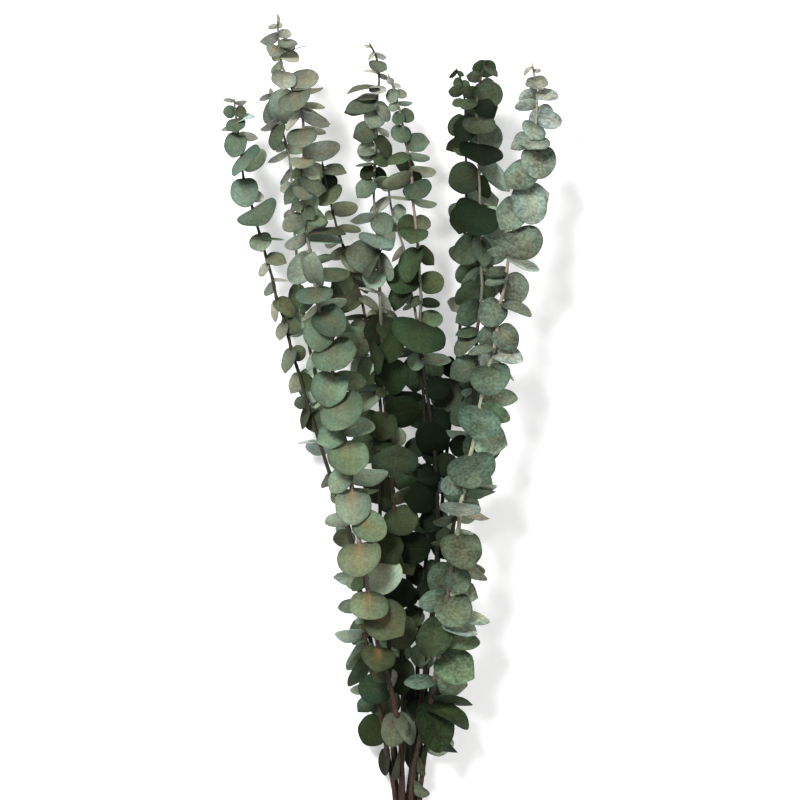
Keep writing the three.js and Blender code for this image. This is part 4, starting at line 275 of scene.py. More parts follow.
            [0.31, -118.3, -15.6, -14.3, 27.1, 25.3, 0.052, 0.046, 16, 3, 0.0, 0.8],
            [12.81, -60.0, 21.9, 1.1, 28.1, 24.6, 0.049, 0.013, 5, 12, 0.0, 0.8],
            [10.62, 149.4, -3.6, 16.6, 26.1, 25.6, 0.040, -0.003, 11, 6, 0.0, 0.8],
            [15.31, 45.0, 16.0, 15.1, 27.1, 25.5, -0.014, -0.029, 2, 0, 0.0, 0.6],
            [17.50, 171.3, 20.0, -3.9, 27.7, 24.8, 0.065, 0.003, 6, 2, 0.0, 0.8],
            [5.00, -32.2, -60.4, -47.0, 29.3, 22.5, 0.037, -0.026, 2, 0, 0.0, 0.6],
        ],
    },
    {
        "name": "leafy_stem_05", "slot": "sage_foliage",
        "points": [[-23.7, 273.2, 50.0], [-19.1, 264.1, 50.0], [-16.8, 254.9, 50.0], [-16.0, 242.7, 50.0], [-17.6, 227.5, 49.0], [-18.3, 206.2, 49.0], [-19.1, 183.3, 48.0], [-19.9, 163.5, 48.0], [-19.1, 140.6, 47.0], [-16.8, 122.3, 46.0], [-16.1, 99.5, 45.0], [-15.3, 80.4, 44.0], [-14.5, 61.3, 43.0], [-13.0, 38.3, 42.0], [-12.3, 15.3, 41.0], [-11.5, -3.8, 40.0], [-8.4, -30.7, 39.0], [-6.1, -58.4, 37.0], [-4.6, -83.0, 35.0], [-2.3, -111.5, 33.0], [0.0, -154.1, 29.0], [1.5, -193.0, 25.0], [2.3, -232.2, 20.0], [1.6, -271.6, 14.0], [0.4, -310.9, 10.5], [0.4, -350.0, 9.2], [0.0, -376.5, 8.4]],
        "radii": [0.55, 0.76, 0.80, 0.84, 0.88, 0.94, 0.99, 1.04, 1.09, 1.13, 1.18, 1.22, 1.26, 1.31, 1.36, 1.39, 1.44, 1.50, 1.54, 1.59, 1.67, 1.74, 1.80, 1.87, 1.93, 2.00, 2.04],
        "twig": [(0.047, 0.045, 0.030), (0.062, 0.060, 0.043), (0.077, 0.076, 0.056), (0.097, 0.097, 0.073), (0.121, 0.123, 0.094), (0.155, 0.159, 0.124), (0.180, 0.185, 0.145), (0.180, 0.185, 0.145), (0.180, 0.185, 0.145), (0.180, 0.185, 0.145), (0.180, 0.185, 0.145), (0.180, 0.185, 0.145), (0.112, 0.114, 0.086), (0.042, 0.039, 0.026), (0.033, 0.032, 0.021), (0.025, 0.025, 0.016), (0.015, 0.016, 0.010), (0.018, 0.018, 0.011), (0.055, 0.043, 0.030), (0.055, 0.043, 0.030), (0.015, 0.016, 0.010), (0.015, 0.016, 0.010), (0.031, 0.027, 0.018), (0.051, 0.040, 0.028), (0.057, 0.041, 0.029), (0.059, 0.038, 0.029), (0.061, 0.037, 0.028)],
        "leaves": [
            [14.88, 25.6, -0.6, 1.9, 13.0, 13.8, 0.029, 0.010, 6, 0, 0.0, 0.8],
            [15.25, -101.7, 17.3, -0.9, 22.9, 21.5, -0.020, 0.031, 5, 9, 0.0, 0.8],
            [16.00, -142.8, 46.0, 30.3, 17.8, 14.2, 0.040, 0.041, 5, 4, 0.0, 0.6],
            [17.00, 78.7, 44.2, 11.4, 32.8, 35.2, -0.016, 0.032, 8, 4, 0.0, 0.8],
            [17.06, 17.4, -10.0, 40.5, 21.1, 18.2, -0.020, -0.006, 9, 4, 0.0, 0.8],
            [18.00, -59.0, 25.3, -11.4, 24.8, 26.7, -0.016, -0.019, 6, 9, 0.0, 0.8],
            [18.06, 147.9, -12.0, -32.8, 15.0, 12.8, 0.022, 0.046, 5, 14, 0.0, 0.8],
            [19.00, 173.3, 10.0, 66.3, 13.4, 11.5, -0.020, 0.025, 4, 12, 0.0, 0.6],
            [19.06, -132.9, -15.7, 11.4, 13.1, 14.1, 0.051, 0.048, 2, 0, 0.0, 0.6],
            [0.44, 170.9, 10.0, 44.5, 6.1, 4.3, 0.034, -0.023, 14, 14, 0.0, 0.8],
            [0.81, -118.7, 10.0, 48.2, 8.2, 5.7, 0.034, -0.024, 14, 14, 0.0, 0.8],
            [1.00, -18.4, 10.0, 63.1, 9.8, 8.4, 0.031, 0.053, 16, 8, 0.0, 0.8],
            [1.56, -81.5, 36.8, -20.1, 13.0, 14.6, 0.049, -0.023, 10, 14, 0.0, 0.8],
            [2.50, 174.9, 10.0, 70.2, 13.1, 11.2, 0.064, 0.042, 16, 10, 0.0, 0.8],
            [2.56, -26.2, -20.4, 46.2, 8.3, 5.5, -0.030, 0.048, 14, 14, 0.0, 0.8],
            [3.31, -169.0, 10.0, 74.0, 25.7, 22.1, 0.046, 0.038, 8, 13, 0.0, 0.8],
            [3.19, -104.8, 47.1, 11.4, 12.3, 13.2, -0.020, 0.012, 15, 8, 0.0, 0.8],
            [3.81, -179.2, -10.0, 61.1, 16.6, 14.2, 0.068, -0.026, 10, 12, 0.0, 0.8],
            [4.06, -164.7, 10.0, 50.0, 24.9, 21.4, 0.028, 0.021, 9, 8, 0.0, 0.8],
            [4.00, -57.7, -6.7, -48.5, 17.3, 15.0, 0.049, -0.001, 12, 8, 0.0, 0.8],
            [4.31, -107.7, 21.0, -11.3, 16.9, 17.1, 0.058, 0.042, 12, 5, 0.0, 0.8],
            [4.94, -156.9, 10.0, -0.0, 19.4, 17.6, 0.030, 0.014, 8, 11, 0.0, 0.8],
            [4.94, -31.4, -18.1, 67.7, 12.1, 10.1, -0.031, -0.018, 16, 4, 0.0, 0.8],
            [5.25, -53.4, -7.0, -51.2, 19.7, 17.1, 0.057, -0.006, 6, 13, 0.0, 0.8],
            [5.69, -169.7, 10.0, 49.4, 13.6, 11.7, 0.047, 0.020, 11, 8, 0.0, 0.8],
            [5.75, -49.6, 9.2, -31.0, 14.2, 12.5, -0.037, -0.021, 7, 4, 0.0, 0.8],
            [6.12, -169.8, 10.0, 73.5, 15.7, 13.5, -0.017, 0.052, 9, 14, 0.0, 0.8],
            [6.31, -149.2, -10.0, 19.6, 13.2, 11.4, 0.037, 0.012, 4, 12, 0.0, 0.6],
            [6.31, -48.5, -16.6, 26.6, 12.5, 10.3, 0.024, 0.014, 2, 0, 0.0, 0.6],
            [6.81, -135.0, 0.2, 30.1, 18.4, 16.8, 0.057, -0.017, 10, 5, 0.0, 0.8],
            [6.88, -8.1, -4.8, 58.7, 18.6, 16.2, -0.041, -0.020, 12, 10, 0.0, 0.8],
            [8.06, -170.2, 10.0, -66.2, 19.8, 17.0, -0.021, -0.029, 16, 1, 0.0, 0.8],
            [8.00, -46.7, 10.0, -5.1, 18.1, 17.6, 0.028, 0.030, 10, 8, 0.0, 0.8],
            [8.81, -95.9, 64.2, -11.4, 26.1, 28.1, 0.028, -0.004, 13, 2, 0.0, 0.8],
            [9.38, -114.1, 32.5, 68.1, 26.7, 20.5, 0.031, 0.012, 8, 8, 0.0, 0.8],
            [9.50, -60.2, 10.0, 53.5, 22.4, 19.3, 0.049, -0.027, 13, 8, 0.0, 0.8],
            [10.06, -122.6, 19.7, 15.5, 16.7, 18.3, 0.058, 0.006, 13, 1, 0.0, 0.8],
            [10.94, 166.4, -8.4, 80.0, 17.2, 15.3, -0.024, 0.053, 16, 7, 0.0, 0.8],
            [10.94, -56.2, 10.0, 58.8, 15.5, 13.3, 0.057, -0.017, 12, 11, 0.0, 0.8],
            [11.94, -108.5, -5.9, -12.6, 21.7, 20.4, -0.030, -0.017, 3, 10, 0.0, 0.6],
            [12.00, -53.0, -1.1, -6.9, 19.1, 17.0, 0.044, 0.058, 5, 7, 0.0, 0.8],
            [13.06, -73.7, -5.4, 50.3, 25.6, 21.6, -0.016, -0.021, 10, 6, 0.0, 0.8],
            [13.00, -10.7, 7.9, 64.8, 16.5, 15.7, -0.022, -0.027, 14, 3, 0.0, 0.8],
            [14.50, -26.6, -2.3, 0.3, 13.4, 12.3, 0.051, 0.021, 2, 0, 0.0, 0.6],
            [14.44, -149.7, 42.2, 11.4, 8.7, 9.4, 0.048, 0.031, 6, 13, 0.0, 0.8],
            [15.75, -39.2, -13.0, 21.0, 16.3, 16.4, -0.017, 0.007, 11, 10, 0.0, 0.8],
            [16.12, 173.7, 19.4, 38.5, 11.0, 7.8, -0.039, -0.006, 3, 7, 0.0, 0.6],
            [17.75, 17.5, -17.2, 51.5, 20.7, 17.3, -0.040, 0.004, 11, 12, 0.0, 0.8],
            [19.00, -64.2, -10.0, -37.1, 26.9, 23.1, 0.040, 0.038, 7, 9, 0.0, 0.8],
            [20.00, 29.1, -12.1, 11.4, 16.2, 17.3, 0.042, 0.009, 4, 0, 0.0, 0.6],
            [21.00, -135.0, -41.8, 11.4, 14.6, 15.8, -0.014, 0.021, 2, 0, 0.0, 0.6],
            [19.06, -0.9, -3.6, 0.5, 26.1, 24.6, 0.036, 0.044, 2, 0, 0.0, 0.6],
            [20.31, -89.5, -0.2, -0.5, 26.2, 24.7, 0.061, -0.028, 8, 12, 0.0, 0.8],
            [17.50, 165.4, -34.5, -12.2, 29.9, 25.2, 0.033, 0.000, 4, 12, 0.0, 0.6],
            [9.69, 165.0, 21.0, 1.6, 27.8, 24.5, -0.012, -0.005, 10, 11, 0.0, 0.8],
            [14.38, 57.8, 24.2, -4.0, 28.4, 24.6, 0.046, -0.011, 4, 0, 0.0, 0.6],
            [15.31, 13.4, -3.2, 27.5, 26.3, 27.0, 0.026, -0.028, 3, 0, 0.0, 0.6],
            [20.31, -164.6, -10.0, -0.0, 26.6, 24.7, -0.034, -0.018, 16, 3, 0.0, 0.8],
            [17.19, 29.6, -5.9, 29.7, 26.4, 27.0, 0.043, -0.029, 7, 0, 0.0, 0.8],
            [5.94, 134.7, -13.7, 9.9, 16.8, 16.3, 0.039, 0.030, 13, 7, 0.0, 0.8],
            [21.25, 120.5, -10.2, -2.9, 26.9, 24.8, 0.046, 0.005, 13, 0, 0.0, 0.8],
            [4.06, -166.9, -9.4, 48.9, 26.3, 23.3, 0.061, -0.027, 3, 6, 0.0, 0.6],
            [8.75, -0.5, -63.4, 1.0, 29.3, 24.5, 0.030, 0.015, 16, 1, 0.0, 0.8],
            [12.69, -39.9, 50.7, 8.9, 29.1, 24.8, 0.033, -0.010, 5, 3, 0.0, 0.8],
            [8.75, -0.3, -61.5, 0.8, 29.3, 24.5, 0.033, 0.000, 16, 1, 0.0, 0.8],
        ],
    },
    {
        "name": "leafy_stem_06", "slot": "deep_foliage",
        "points": [[-9.2, 248.8, 50.0], [-5.3, 239.7, 50.0], [-3.1, 232.0, 50.0], [0.0, 219.8, 50.0], [3.1, 204.5, 50.0], [6.1, 187.0, 50.0], [9.2, 168.0, 49.0], [9.9, 152.7, 49.0], [11.5, 139.0, 48.0], [13.8, 116.2, 47.0], [15.3, 91.8, 46.0], [16.1, 74.2, 46.0], [15.3, 59.6, 46.0], [16.8, 32.9, 44.0], [19.9, 11.5, 41.0], [23.8, -15.3, 38.0], [26.9, -42.3, 36.0], [28.4, -69.2, 34.0], [29.2, -100.0, 32.0], [27.0, -138.8, 28.0], [23.9, -169.8, 26.0], [20.9, -197.1, 23.0], [16.3, -232.3, 19.0], [10.9, -271.4, 15.5], [6.2, -310.8, 11.5], [6.2, -349.9, 9.7], [6.2, -368.6, 9.2]],
        "radii": [0.55, 0.77, 0.79, 0.84, 0.88, 0.93, 0.98, 1.02, 1.05, 1.11, 1.17, 1.21, 1.24, 1.29, 1.34, 1.40, 1.45, 1.50, 1.56, 1.64, 1.69, 1.74, 1.80, 1.87, 1.94, 2.01, 2.04],
        "twig": [(0.183, 0.186, 0.146), (0.192, 0.189, 0.149), (0.200, 0.192, 0.152), (0.212, 0.196, 0.156), (0.228, 0.202, 0.162), (0.245, 0.208, 0.168), (0.265, 0.215, 0.175), (0.280, 0.220, 0.180), (0.260, 0.213, 0.173), (0.227, 0.201, 0.161), (0.191, 0.189, 0.149), (0.145, 0.148, 0.115), (0.094, 0.093, 0.070), (0.032, 0.031, 0.020), (0.015, 0.016, 0.010), (0.015, 0.016, 0.010), (0.015, 0.016, 0.010), (0.015, 0.016, 0.010), (0.015, 0.016, 0.010), (0.015, 0.016, 0.010), (0.015, 0.016, 0.010), (0.015, 0.016, 0.010), (0.031, 0.027, 0.018), (0.051, 0.040, 0.028), (0.057, 0.041, 0.029), (0.059, 0.038, 0.029), (0.061, 0.037, 0.028)],
        "leaves": [
            [0.31, -79.2, 15.5, -11.4, 5.8, 6.2, 0.060, -0.009, 13, 11, 0.0, 0.8],
            [0.88, -15.7, 10.0, 37.5, 6.9, 4.8, -0.021, 0.004, 16, 8, 0.0, 0.8],
            [1.25, -100.5, 10.0, 19.2, 12.2, 10.5, 0.052, -0.020, 11, 11, 0.0, 0.8],
            [1.69, -20.6, 10.0, -26.2, 9.9, 8.5, 0.058, 0.027, 11, 14, 0.0, 0.8],
            [2.50, 1.4, 10.0, 72.3, 11.7, 10.0, 0.040, -0.007, 16, 1, 0.0, 0.8],
            [2.56, -151.2, 6.2, 16.7, 8.9, 8.0, 0.050, -0.016, 12, 8, 0.0, 0.8],
            [2.94, -100.3, 18.8, 14.1, 12.4, 10.2, -0.014, -0.012, 8, 5, 0.0, 0.8],
            [3.00, -29.7, 10.0, 6.1, 12.5, 10.7, -0.018, -0.004, 8, 5, 0.0, 0.8],
            [3.69, -98.9, 26.6, -11.4, 15.2, 16.3, -0.042, -0.026, 9, 5, 0.0, 0.8],
            [4.50, 2.8, 4.3, -17.6, 18.4, 16.0, 0.050, 0.000, 9, 8, 0.0, 0.8],
            [5.00, -10.3, -10.0, 69.0, 17.3, 14.9, 0.020, 0.020, 16, 0, 0.0, 0.8],
            [4.94, -147.8, 30.1, 46.7, 20.3, 15.6, 0.030, -0.024, 8, 3, 0.0, 0.8],
            [5.12, -120.2, -45.3, 8.2, 16.2, 17.0, 0.066, -0.012, 9, 0, 0.0, 0.8],
            [5.62, -2.5, 12.6, 62.4, 19.8, 16.5, 0.020, 0.056, 16, 6, 0.0, 0.8],
            [5.62, -54.6, -15.9, 22.0, 12.7, 10.7, 0.052, -0.001, 2, 0, 0.0, 0.6],
            [5.88, -163.8, 17.8, -47.8, 24.4, 17.5, 0.031, -0.019, 12, 10, 0.0, 0.8],
            [6.12, -55.8, 40.7, -11.4, 21.0, 22.6, 0.025, 0.051, 8, 5, 0.0, 0.8],
            [7.00, -9.5, 10.0, 73.6, 18.9, 16.2, 0.037, 0.042, 16, 3, 0.0, 0.8],
            [7.00, 172.5, -9.5, 80.0, 21.0, 19.1, 0.047, -0.021, 12, 13, 0.0, 0.8],
            [8.00, -142.6, -7.4, -20.6, 16.5, 14.7, -0.030, 0.044, 7, 6, 0.0, 0.8],
            [8.00, -31.0, -10.0, 20.6, 13.6, 12.2, 0.046, 0.050, 10, 10, 0.0, 0.8],
            [8.38, -107.0, 48.9, 11.4, 20.3, 21.8, 0.026, 0.043, 8, 3, 0.0, 0.8],
            [9.00, -46.7, -10.0, -42.6, 18.1, 15.6, 0.043, -0.027, 7, 12, 0.0, 0.8],
            [9.00, -107.4, 10.1, 49.2, 28.5, 24.6, 0.069, 0.048, 7, 0, 0.0, 0.8],
            [10.19, 11.7, 10.0, 0.0, 18.8, 17.6, 0.036, -0.029, 7, 9, 0.0, 0.8],
            [10.75, -142.9, -10.0, 33.2, 10.6, 9.1, 0.030, 0.015, 7, 14, 0.0, 0.8],
            [11.00, -3.0, -10.0, -48.5, 14.8, 12.7, 0.065, -0.005, 3, 13, 0.0, 0.6],
            [11.94, 5.9, -10.0, -27.0, 18.0, 15.5, 0.045, -0.026, 9, 0, 0.0, 0.8],
            [11.94, -97.0, 50.1, -11.4, 39.2, 42.1, 0.049, 0.016, 6, 0, 0.0, 0.8],
            [13.00, -7.9, 10.0, -59.4, 22.8, 19.6, -0.025, 0.055, 15, 0, 0.0, 0.8],
            [13.00, -142.4, -12.5, 11.4, 13.0, 14.1, 0.028, 0.045, 12, 1, 0.0, 0.8],
            [14.00, -16.3, -10.0, -0.0, 19.5, 18.4, 0.056, -0.011, 2, 0, 0.0, 0.6],
            [15.00, -6.3, -15.5, -11.4, 17.0, 18.8, 0.021, -0.013, 2, 0, 0.0, 0.6],
            [16.12, -27.3, -10.4, 21.5, 18.2, 19.8, 0.069, -0.025, 4, 8, 0.0, 0.6],
            [16.44, -149.0, 33.9, 11.6, 17.5, 18.8, 0.053, -0.007, 2, 0, 0.0, 0.6],
            [17.75, -158.3, -11.9, 5.6, 15.2, 17.0, 0.047, 0.015, 2, 0, 0.0, 0.6],
            [18.12, -67.2, -27.4, 9.9, 22.7, 17.2, 0.053, 0.052, 2, 0, 0.0, 0.6],
            [19.12, -139.4, 11.3, 11.5, 17.3, 17.3, 0.045, 0.047, 2, 0, 0.0, 0.6],
            [20.88, -142.8, -20.3, 11.4, 16.1, 17.3, 0.060, 0.035, 12, 3, 0.0, 0.8],
            [22.00, -137.3, -10.0, 0.0, 13.9, 12.4, -0.030, -0.025, 3, 7, 0.0, 0.6],
            [17.19, 179.2, 27.9, -3.8, 29.9, 24.7, 0.033, -0.010, 2, 0, 0.0, 0.6],
            [15.94, 103.1, 35.0, -5.0, 29.7, 24.7, -0.019, 0.047, 2, 0, 0.0, 0.6],
            [10.00, -180.0, -11.4, 21.5, 26.5, 26.3, 0.048, 0.049, 6, 0, 0.0, 0.8],
            [22.75, -96.5, -12.1, 53.5, 27.0, 27.3, -0.015, 0.018, 6, 6, 0.0, 0.8],
        ],
    },
    {
        "name": "leafy_stem_07", "slot": "deep_foliage",
        "points": [[43.1, 255.7, 30.0], [46.2, 248.2, 29.0], [48.6, 238.9, 29.0], [50.1, 227.5, 28.0], [50.9, 208.2, 28.0], [50.9, 181.2, 28.0], [50.9, 146.6, 27.0], [49.4, 115.7, 27.0], [47.8, 77.1, 27.0], [43.9, 30.8, 28.0], [39.4, -11.6, 26.0], [34.8, -54.1, 24.0], [30.9, -100.6, 21.0], [27.9, -139.4, 18.0], [24.1, -182.4, 14.0], [19.4, -225.6, 9.0], [14.8, -268.9, 4.4], [9.4, -312.0, 3.0], [9.4, -351.0, 2.7], [9.4, -360.4, 2.7]],
        "radii": [0.55, 0.76, 0.79, 0.83, 0.89, 0.97, 1.05, 1.13, 1.21, 1.31, 1.40, 1.49, 1.58, 1.65, 1.73, 1.81, 1.88, 1.96, 2.02, 2.04],
        "twig": [(0.043, 0.041, 0.027), (0.041, 0.039, 0.026), (0.039, 0.036, 0.024), (0.035, 0.034, 0.022), (0.030, 0.029, 0.019), (0.022, 0.023, 0.015), (0.015, 0.016, 0.010), (0.015, 0.016, 0.010), (0.015, 0.016, 0.010), (0.015, 0.016, 0.010), (0.015, 0.016, 0.010), (0.015, 0.016, 0.010), (0.015, 0.016, 0.010), (0.015, 0.016, 0.010), (0.015, 0.016, 0.010), (0.015, 0.016, 0.010), (0.033, 0.028, 0.019), (0.055, 0.043, 0.030), (0.058, 0.039, 0.029), (0.059, 0.039, 0.029)],
        "leaves": [
            [0.25, -136.8, 10.0, -59.3, 8.6, 6.0, 0.047, 0.002, 8, 14, 0.0, 0.8],
            [0.38, -33.9, 10.0, 25.2, 6.1, 4.3, 0.033, -0.021, 8, 0, 0.0, 0.8],
            [1.00, -116.6, 10.0, -0.0, 8.7, 6.9, -0.041, 0.050, 8, 3, 0.0, 0.8],
            [1.38, -23.3, 10.0, -0.0, 7.5, 6.2, -0.017, -0.012, 8, 0, 0.0, 0.8],
            [2.06, -175.6, 18.0, -25.3, 12.3, 10.2, 0.064, 0.017, 8, 14, 0.0, 0.8],
            [2.81, -164.7, 10.0, 29.6, 10.3, 8.9, 0.046, -0.019, 8, 6, 0.0, 0.8],
            [3.56, -134.1, -9.6, 0.3, 17.6, 15.4, -0.036, -0.017, 6, 14, 0.0, 0.8],
            [4.25, -148.7, -10.0, -44.0, 18.4, 15.0, 0.033, -0.013, 6, 13, 0.0, 0.8],
            [5.00, -117.6, -10.0, -15.0, 18.6, 16.0, 0.041, -0.011, 7, 11, 0.0, 0.8],
            [6.00, -159.4, -35.0, -11.4, 16.1, 17.3, 0.034, 0.012, 9, 10, 0.0, 0.8],
            [7.00, -146.3, -40.5, -11.4, 14.6, 15.7, 0.032, -0.002, 8, 12, 0.0, 0.8],
            [8.00, -135.0, -41.8, -11.4, 14.6, 15.7, 0.040, 0.049, 15, 7, 0.0, 0.8],
            [9.06, -153.2, -26.6, -11.4, 16.1, 17.3, 0.025, 0.059, 2, 0, 0.0, 0.6],
            [10.06, 163.2, -47.8, 11.4, 17.6, 18.9, -0.021, -0.029, 2, 0, 0.0, 0.6],
            [11.00, -101.8, -10.0, 0.0, 19.2, 18.5, 0.031, 0.012, 2, 0, 0.0, 0.6],
            [12.62, -112.0, -15.2, -11.4, 16.2, 17.4, 0.036, 0.043, 13, 0, 0.0, 0.8],
            [14.06, -132.7, -41.1, -11.4, 16.2, 17.4, 0.048, 0.019, 9, 6, 0.0, 0.8],
            [9.38, -120.1, -0.1, 5.8, 25.9, 24.8, 0.035, 0.047, 6, 14, 0.0, 0.8],
            [5.94, 14.2, -10.0, -0.0, 26.6, 24.7, 0.056, -0.006, 16, 1, 0.0, 0.8],
            [3.44, 15.0, -10.0, 0.0, 26.3, 24.7, 0.043, 0.018, 5, 5, 0.0, 0.8],
            [5.94, -104.8, -10.0, 0.0, 21.6, 20.8, -0.039, -0.013, 4, 9, 0.0, 0.6],
            [15.00, -108.0, -8.4, 29.3, 26.9, 27.4, 0.060, 0.046, 11, 11, 0.0, 0.8],
            [12.19, 105.6, -10.0, -0.0, 26.9, 24.8, 0.037, 0.048, 11, 4, 0.0, 0.8],
            [9.69, 44.8, -13.0, -21.1, 26.9, 26.5, 0.032, -0.002, 7, 0, 0.0, 0.8],
        ],
    },
    {
        "name": "leafy_stem_08", "slot": "deep_foliage",
        "points": [[65.6, 259.5, 50.0], [62.6, 248.8, 50.0], [59.5, 236.6, 50.0], [58.8, 225.2, 50.0], [58.8, 209.9, 50.0], [59.5, 194.6, 50.0], [60.3, 174.1, 49.0], [61.1, 150.5, 48.0], [61.1, 125.3, 48.0], [61.9, 105.5, 47.0], [62.7, 84.1, 47.0], [60.4, 62.7, 46.0], [58.9, 52.0, 46.0], [58.1, 29.1, 45.0], [56.6, 5.4, 44.0], [54.4, -23.0, 42.0], [49.1, -53.7, 39.0], [43.0, -84.5, 36.0], [38.5, -115.4, 33.0], [34.7, -146.4, 30.0], [30.9, -181.3, 27.0], [27.0, -216.3, 24.0], [23.2, -247.6, 20.0], [18.6, -279.0, 17.0], [15.5, -310.4, 14.0], [17.1, -349.4, 13.0], [17.9, -377.4, 12.5]],
        "radii": [0.55, 0.77, 0.81, 0.85, 0.89, 0.93, 0.99, 1.04, 1.10, 1.15, 1.19, 1.24, 1.26, 1.31, 1.36, 1.41, 1.47, 1.53, 1.59, 1.65, 1.71, 1.77, 1.82, 1.88, 1.93, 1.99, 2.04],
        "twig": [(0.045, 0.042, 0.028), (0.061, 0.059, 0.042), (0.079, 0.078, 0.057), (0.096, 0.096, 0.072), (0.118, 0.119, 0.091), (0.141, 0.143, 0.111), (0.171, 0.175, 0.137), (0.180, 0.185, 0.145), (0.180, 0.185, 0.145), (0.180, 0.185, 0.145), (0.180, 0.185, 0.145), (0.085, 0.085, 0.063), (0.044, 0.041, 0.027), (0.026, 0.025, 0.016), (0.015, 0.016, 0.010), (0.015, 0.016, 0.010), (0.015, 0.016, 0.010), (0.015, 0.016, 0.010), (0.015, 0.016, 0.010), (0.015, 0.016, 0.010), (0.015, 0.016, 0.010), (0.026, 0.023, 0.015), (0.040, 0.033, 0.023), (0.055, 0.043, 0.030), (0.057, 0.041, 0.029), (0.059, 0.038, 0.029), (0.061, 0.037, 0.028)],
        "leaves": [
            [0.19, -150.8, 10.0, -47.2, 11.8, 10.1, -0.025, 0.005, 8, 0, 0.0, 1.0],
            [0.38, -41.2, 10.0, -55.0, 13.9, 12.0, 0.026, 0.039, 8, 14, 0.0, 1.0],
            [1.25, 172.8, 10.0, -33.2, 11.7, 10.0, -0.020, 0.035, 8, 11, 0.0, 1.0],
            [1.50, -53.9, 0.8, 17.1, 17.1, 17.6, -0.024, -0.014, 8, 14, 0.0, 1.0],
            [2.12, 177.1, 10.0, -39.3, 13.8, 11.8, 0.056, 0.049, 6, 14, 0.0, 1.0],
            [2.69, -50.5, 15.8, -8.8, 18.5, 15.4, 0.043, 0.053, 2, 0, 0.0, 0.6],
            [2.75, -153.4, 10.0, 40.3, 14.0, 12.0, 0.055, 0.054, 7, 8, 0.0, 1.0],
            [3.62, -75.5, 47.8, -11.4, 23.2, 24.9, -0.013, 0.024, 7, 14, 0.0, 1.0],
            [3.69, -135.6, -10.0, 26.2, 23.7, 20.4, 0.045, 0.019, 2, 0, 0.0, 0.6],
            [4.94, -80.6, 51.5, -21.5, 30.4, 34.5, 0.038, 0.024, 2, 0, 0.0, 0.6],
            [5.19, 178.7, 10.0, -74.8, 20.3, 17.5, 0.067, 0.021, 11, 9, 0.0, 1.0],
            [5.62, -44.4, 10.0, 65.3, 34.0, 29.3, -0.023, -0.019, 15, 1, 0.0, 1.0],
            [6.00, -158.2, -10.0, -0.0, 25.1, 24.4, 0.053, 0.040, 5, 11, 0.0, 0.6],
            [6.12, -66.2, -10.0, 55.7, 18.9, 16.3, 0.065, -0.019, 3, 13, 0.0, 0.6],
            [7.00, -105.3, 38.4, -11.4, 33.3, 35.8, 0.042, 0.016, 4, 2, 0.0, 0.6],
            [8.06, -136.0, 12.6, -7.3, 27.2, 21.6, 0.047, 0.047, 7, 8, 0.0, 1.0],
            [8.00, -81.1, 16.7, -48.2, 25.8, 21.8, -0.030, 0.011, 9, 5, 0.0, 1.0],
            [8.94, -136.6, -11.2, -37.1, 24.6, 20.1, -0.015, 0.022, 10, 0, 0.0, 1.0],
            [9.00, -29.7, -13.5, -31.5, 12.7, 10.8, -0.036, -0.025, 11, 8, 0.0, 1.0],
            [9.25, -127.6, -10.0, -57.2, 24.6, 21.2, 0.030, -0.001, 13, 4, 0.0, 1.0],
            [9.88, -147.7, -10.3, -54.3, 24.0, 22.7, -0.031, -0.029, 9, 0, 0.0, 1.0],
            [9.88, -44.0, -10.0, 14.8, 12.9, 11.1, -0.023, 0.019, 7, 7, 0.0, 1.0],
            [10.50, -146.2, 10.9, -32.5, 24.3, 20.8, 0.058, -0.004, 9, 5, 0.0, 1.0],
            [11.88, -166.3, 10.0, 56.5, 17.7, 15.3, -0.026, 0.024, 8, 4, 0.0, 1.0],
            [12.06, -132.8, 10.0, 53.4, 23.9, 20.5, 0.042, 0.022, 9, 11, 0.0, 1.0],
            [13.00, -148.4, 10.0, -1.4, 23.7, 19.9, 0.068, 0.007, 9, 5, 0.0, 1.0],
            [13.94, -166.7, -10.0, -40.3, 10.5, 9.0, 0.064, 0.012, 11, 2, 0.0, 1.0],
            [14.00, -75.1, -41.9, -11.4, 16.0, 17.2, -0.027, -0.005, 8, 2, 0.0, 1.0],
            [14.38, -140.0, -10.0, 4.2, 21.4, 18.4, 0.062, 0.046, 7, 8, 0.0, 1.0],
            [15.12, 173.3, 10.0, -65.1, 19.1, 16.4, 0.045, 0.041, 16, 0, 0.0, 1.0],
            [15.25, -133.8, -26.0, -15.8, 19.2, 20.7, -0.041, -0.003, 2, 0, 0.0, 0.6],
            [16.25, -128.7, -3.4, 11.4, 19.7, 20.4, 0.064, -0.019, 7, 2, 0.0, 1.0],
            [17.19, -167.3, 16.6, -55.2, 17.8, 13.5, 0.032, 0.028, 10, 8, 0.0, 1.0],
            [17.56, -136.9, -1.0, 0.5, 15.2, 15.4, 0.060, 0.013, 5, 11, 0.0, 0.6],
            [18.50, -108.4, -1.7, 2.6, 18.1, 17.0, 0.069, 0.016, 8, 1, 0.0, 1.0],
            [19.69, -125.2, 11.4, -11.4, 18.5, 18.9, 0.040, 0.020, 7, 0, 0.0, 1.0],
            [21.00, -61.2, -14.6, -25.1, 18.2, 20.5, 0.066, -0.011, 6, 2, 0.0, 1.0],
            [5.31, 60.7, -10.0, 0.0, 26.5, 24.4, -0.015, 0.018, 11, 8, 0.0, 1.0],
            [8.75, 30.2, -44.4, -1.1, 29.2, 24.5, 0.036, 0.035, 12, 4, 0.0, 1.0],
            [12.50, -58.0, -16.2, 7.1, 27.0, 24.7, 0.028, -0.007, 14, 5, 0.0, 1.0],
            [16.56, -73.3, -17.2, 6.8, 27.0, 24.7, 0.035, 0.002, 12, 10, 0.0, 1.0],
            [0.00, -89.0, -50.5, -0.2, 19.1, 16.0, 0.062, -0.006, 8, 0, 0.0, 1.0],
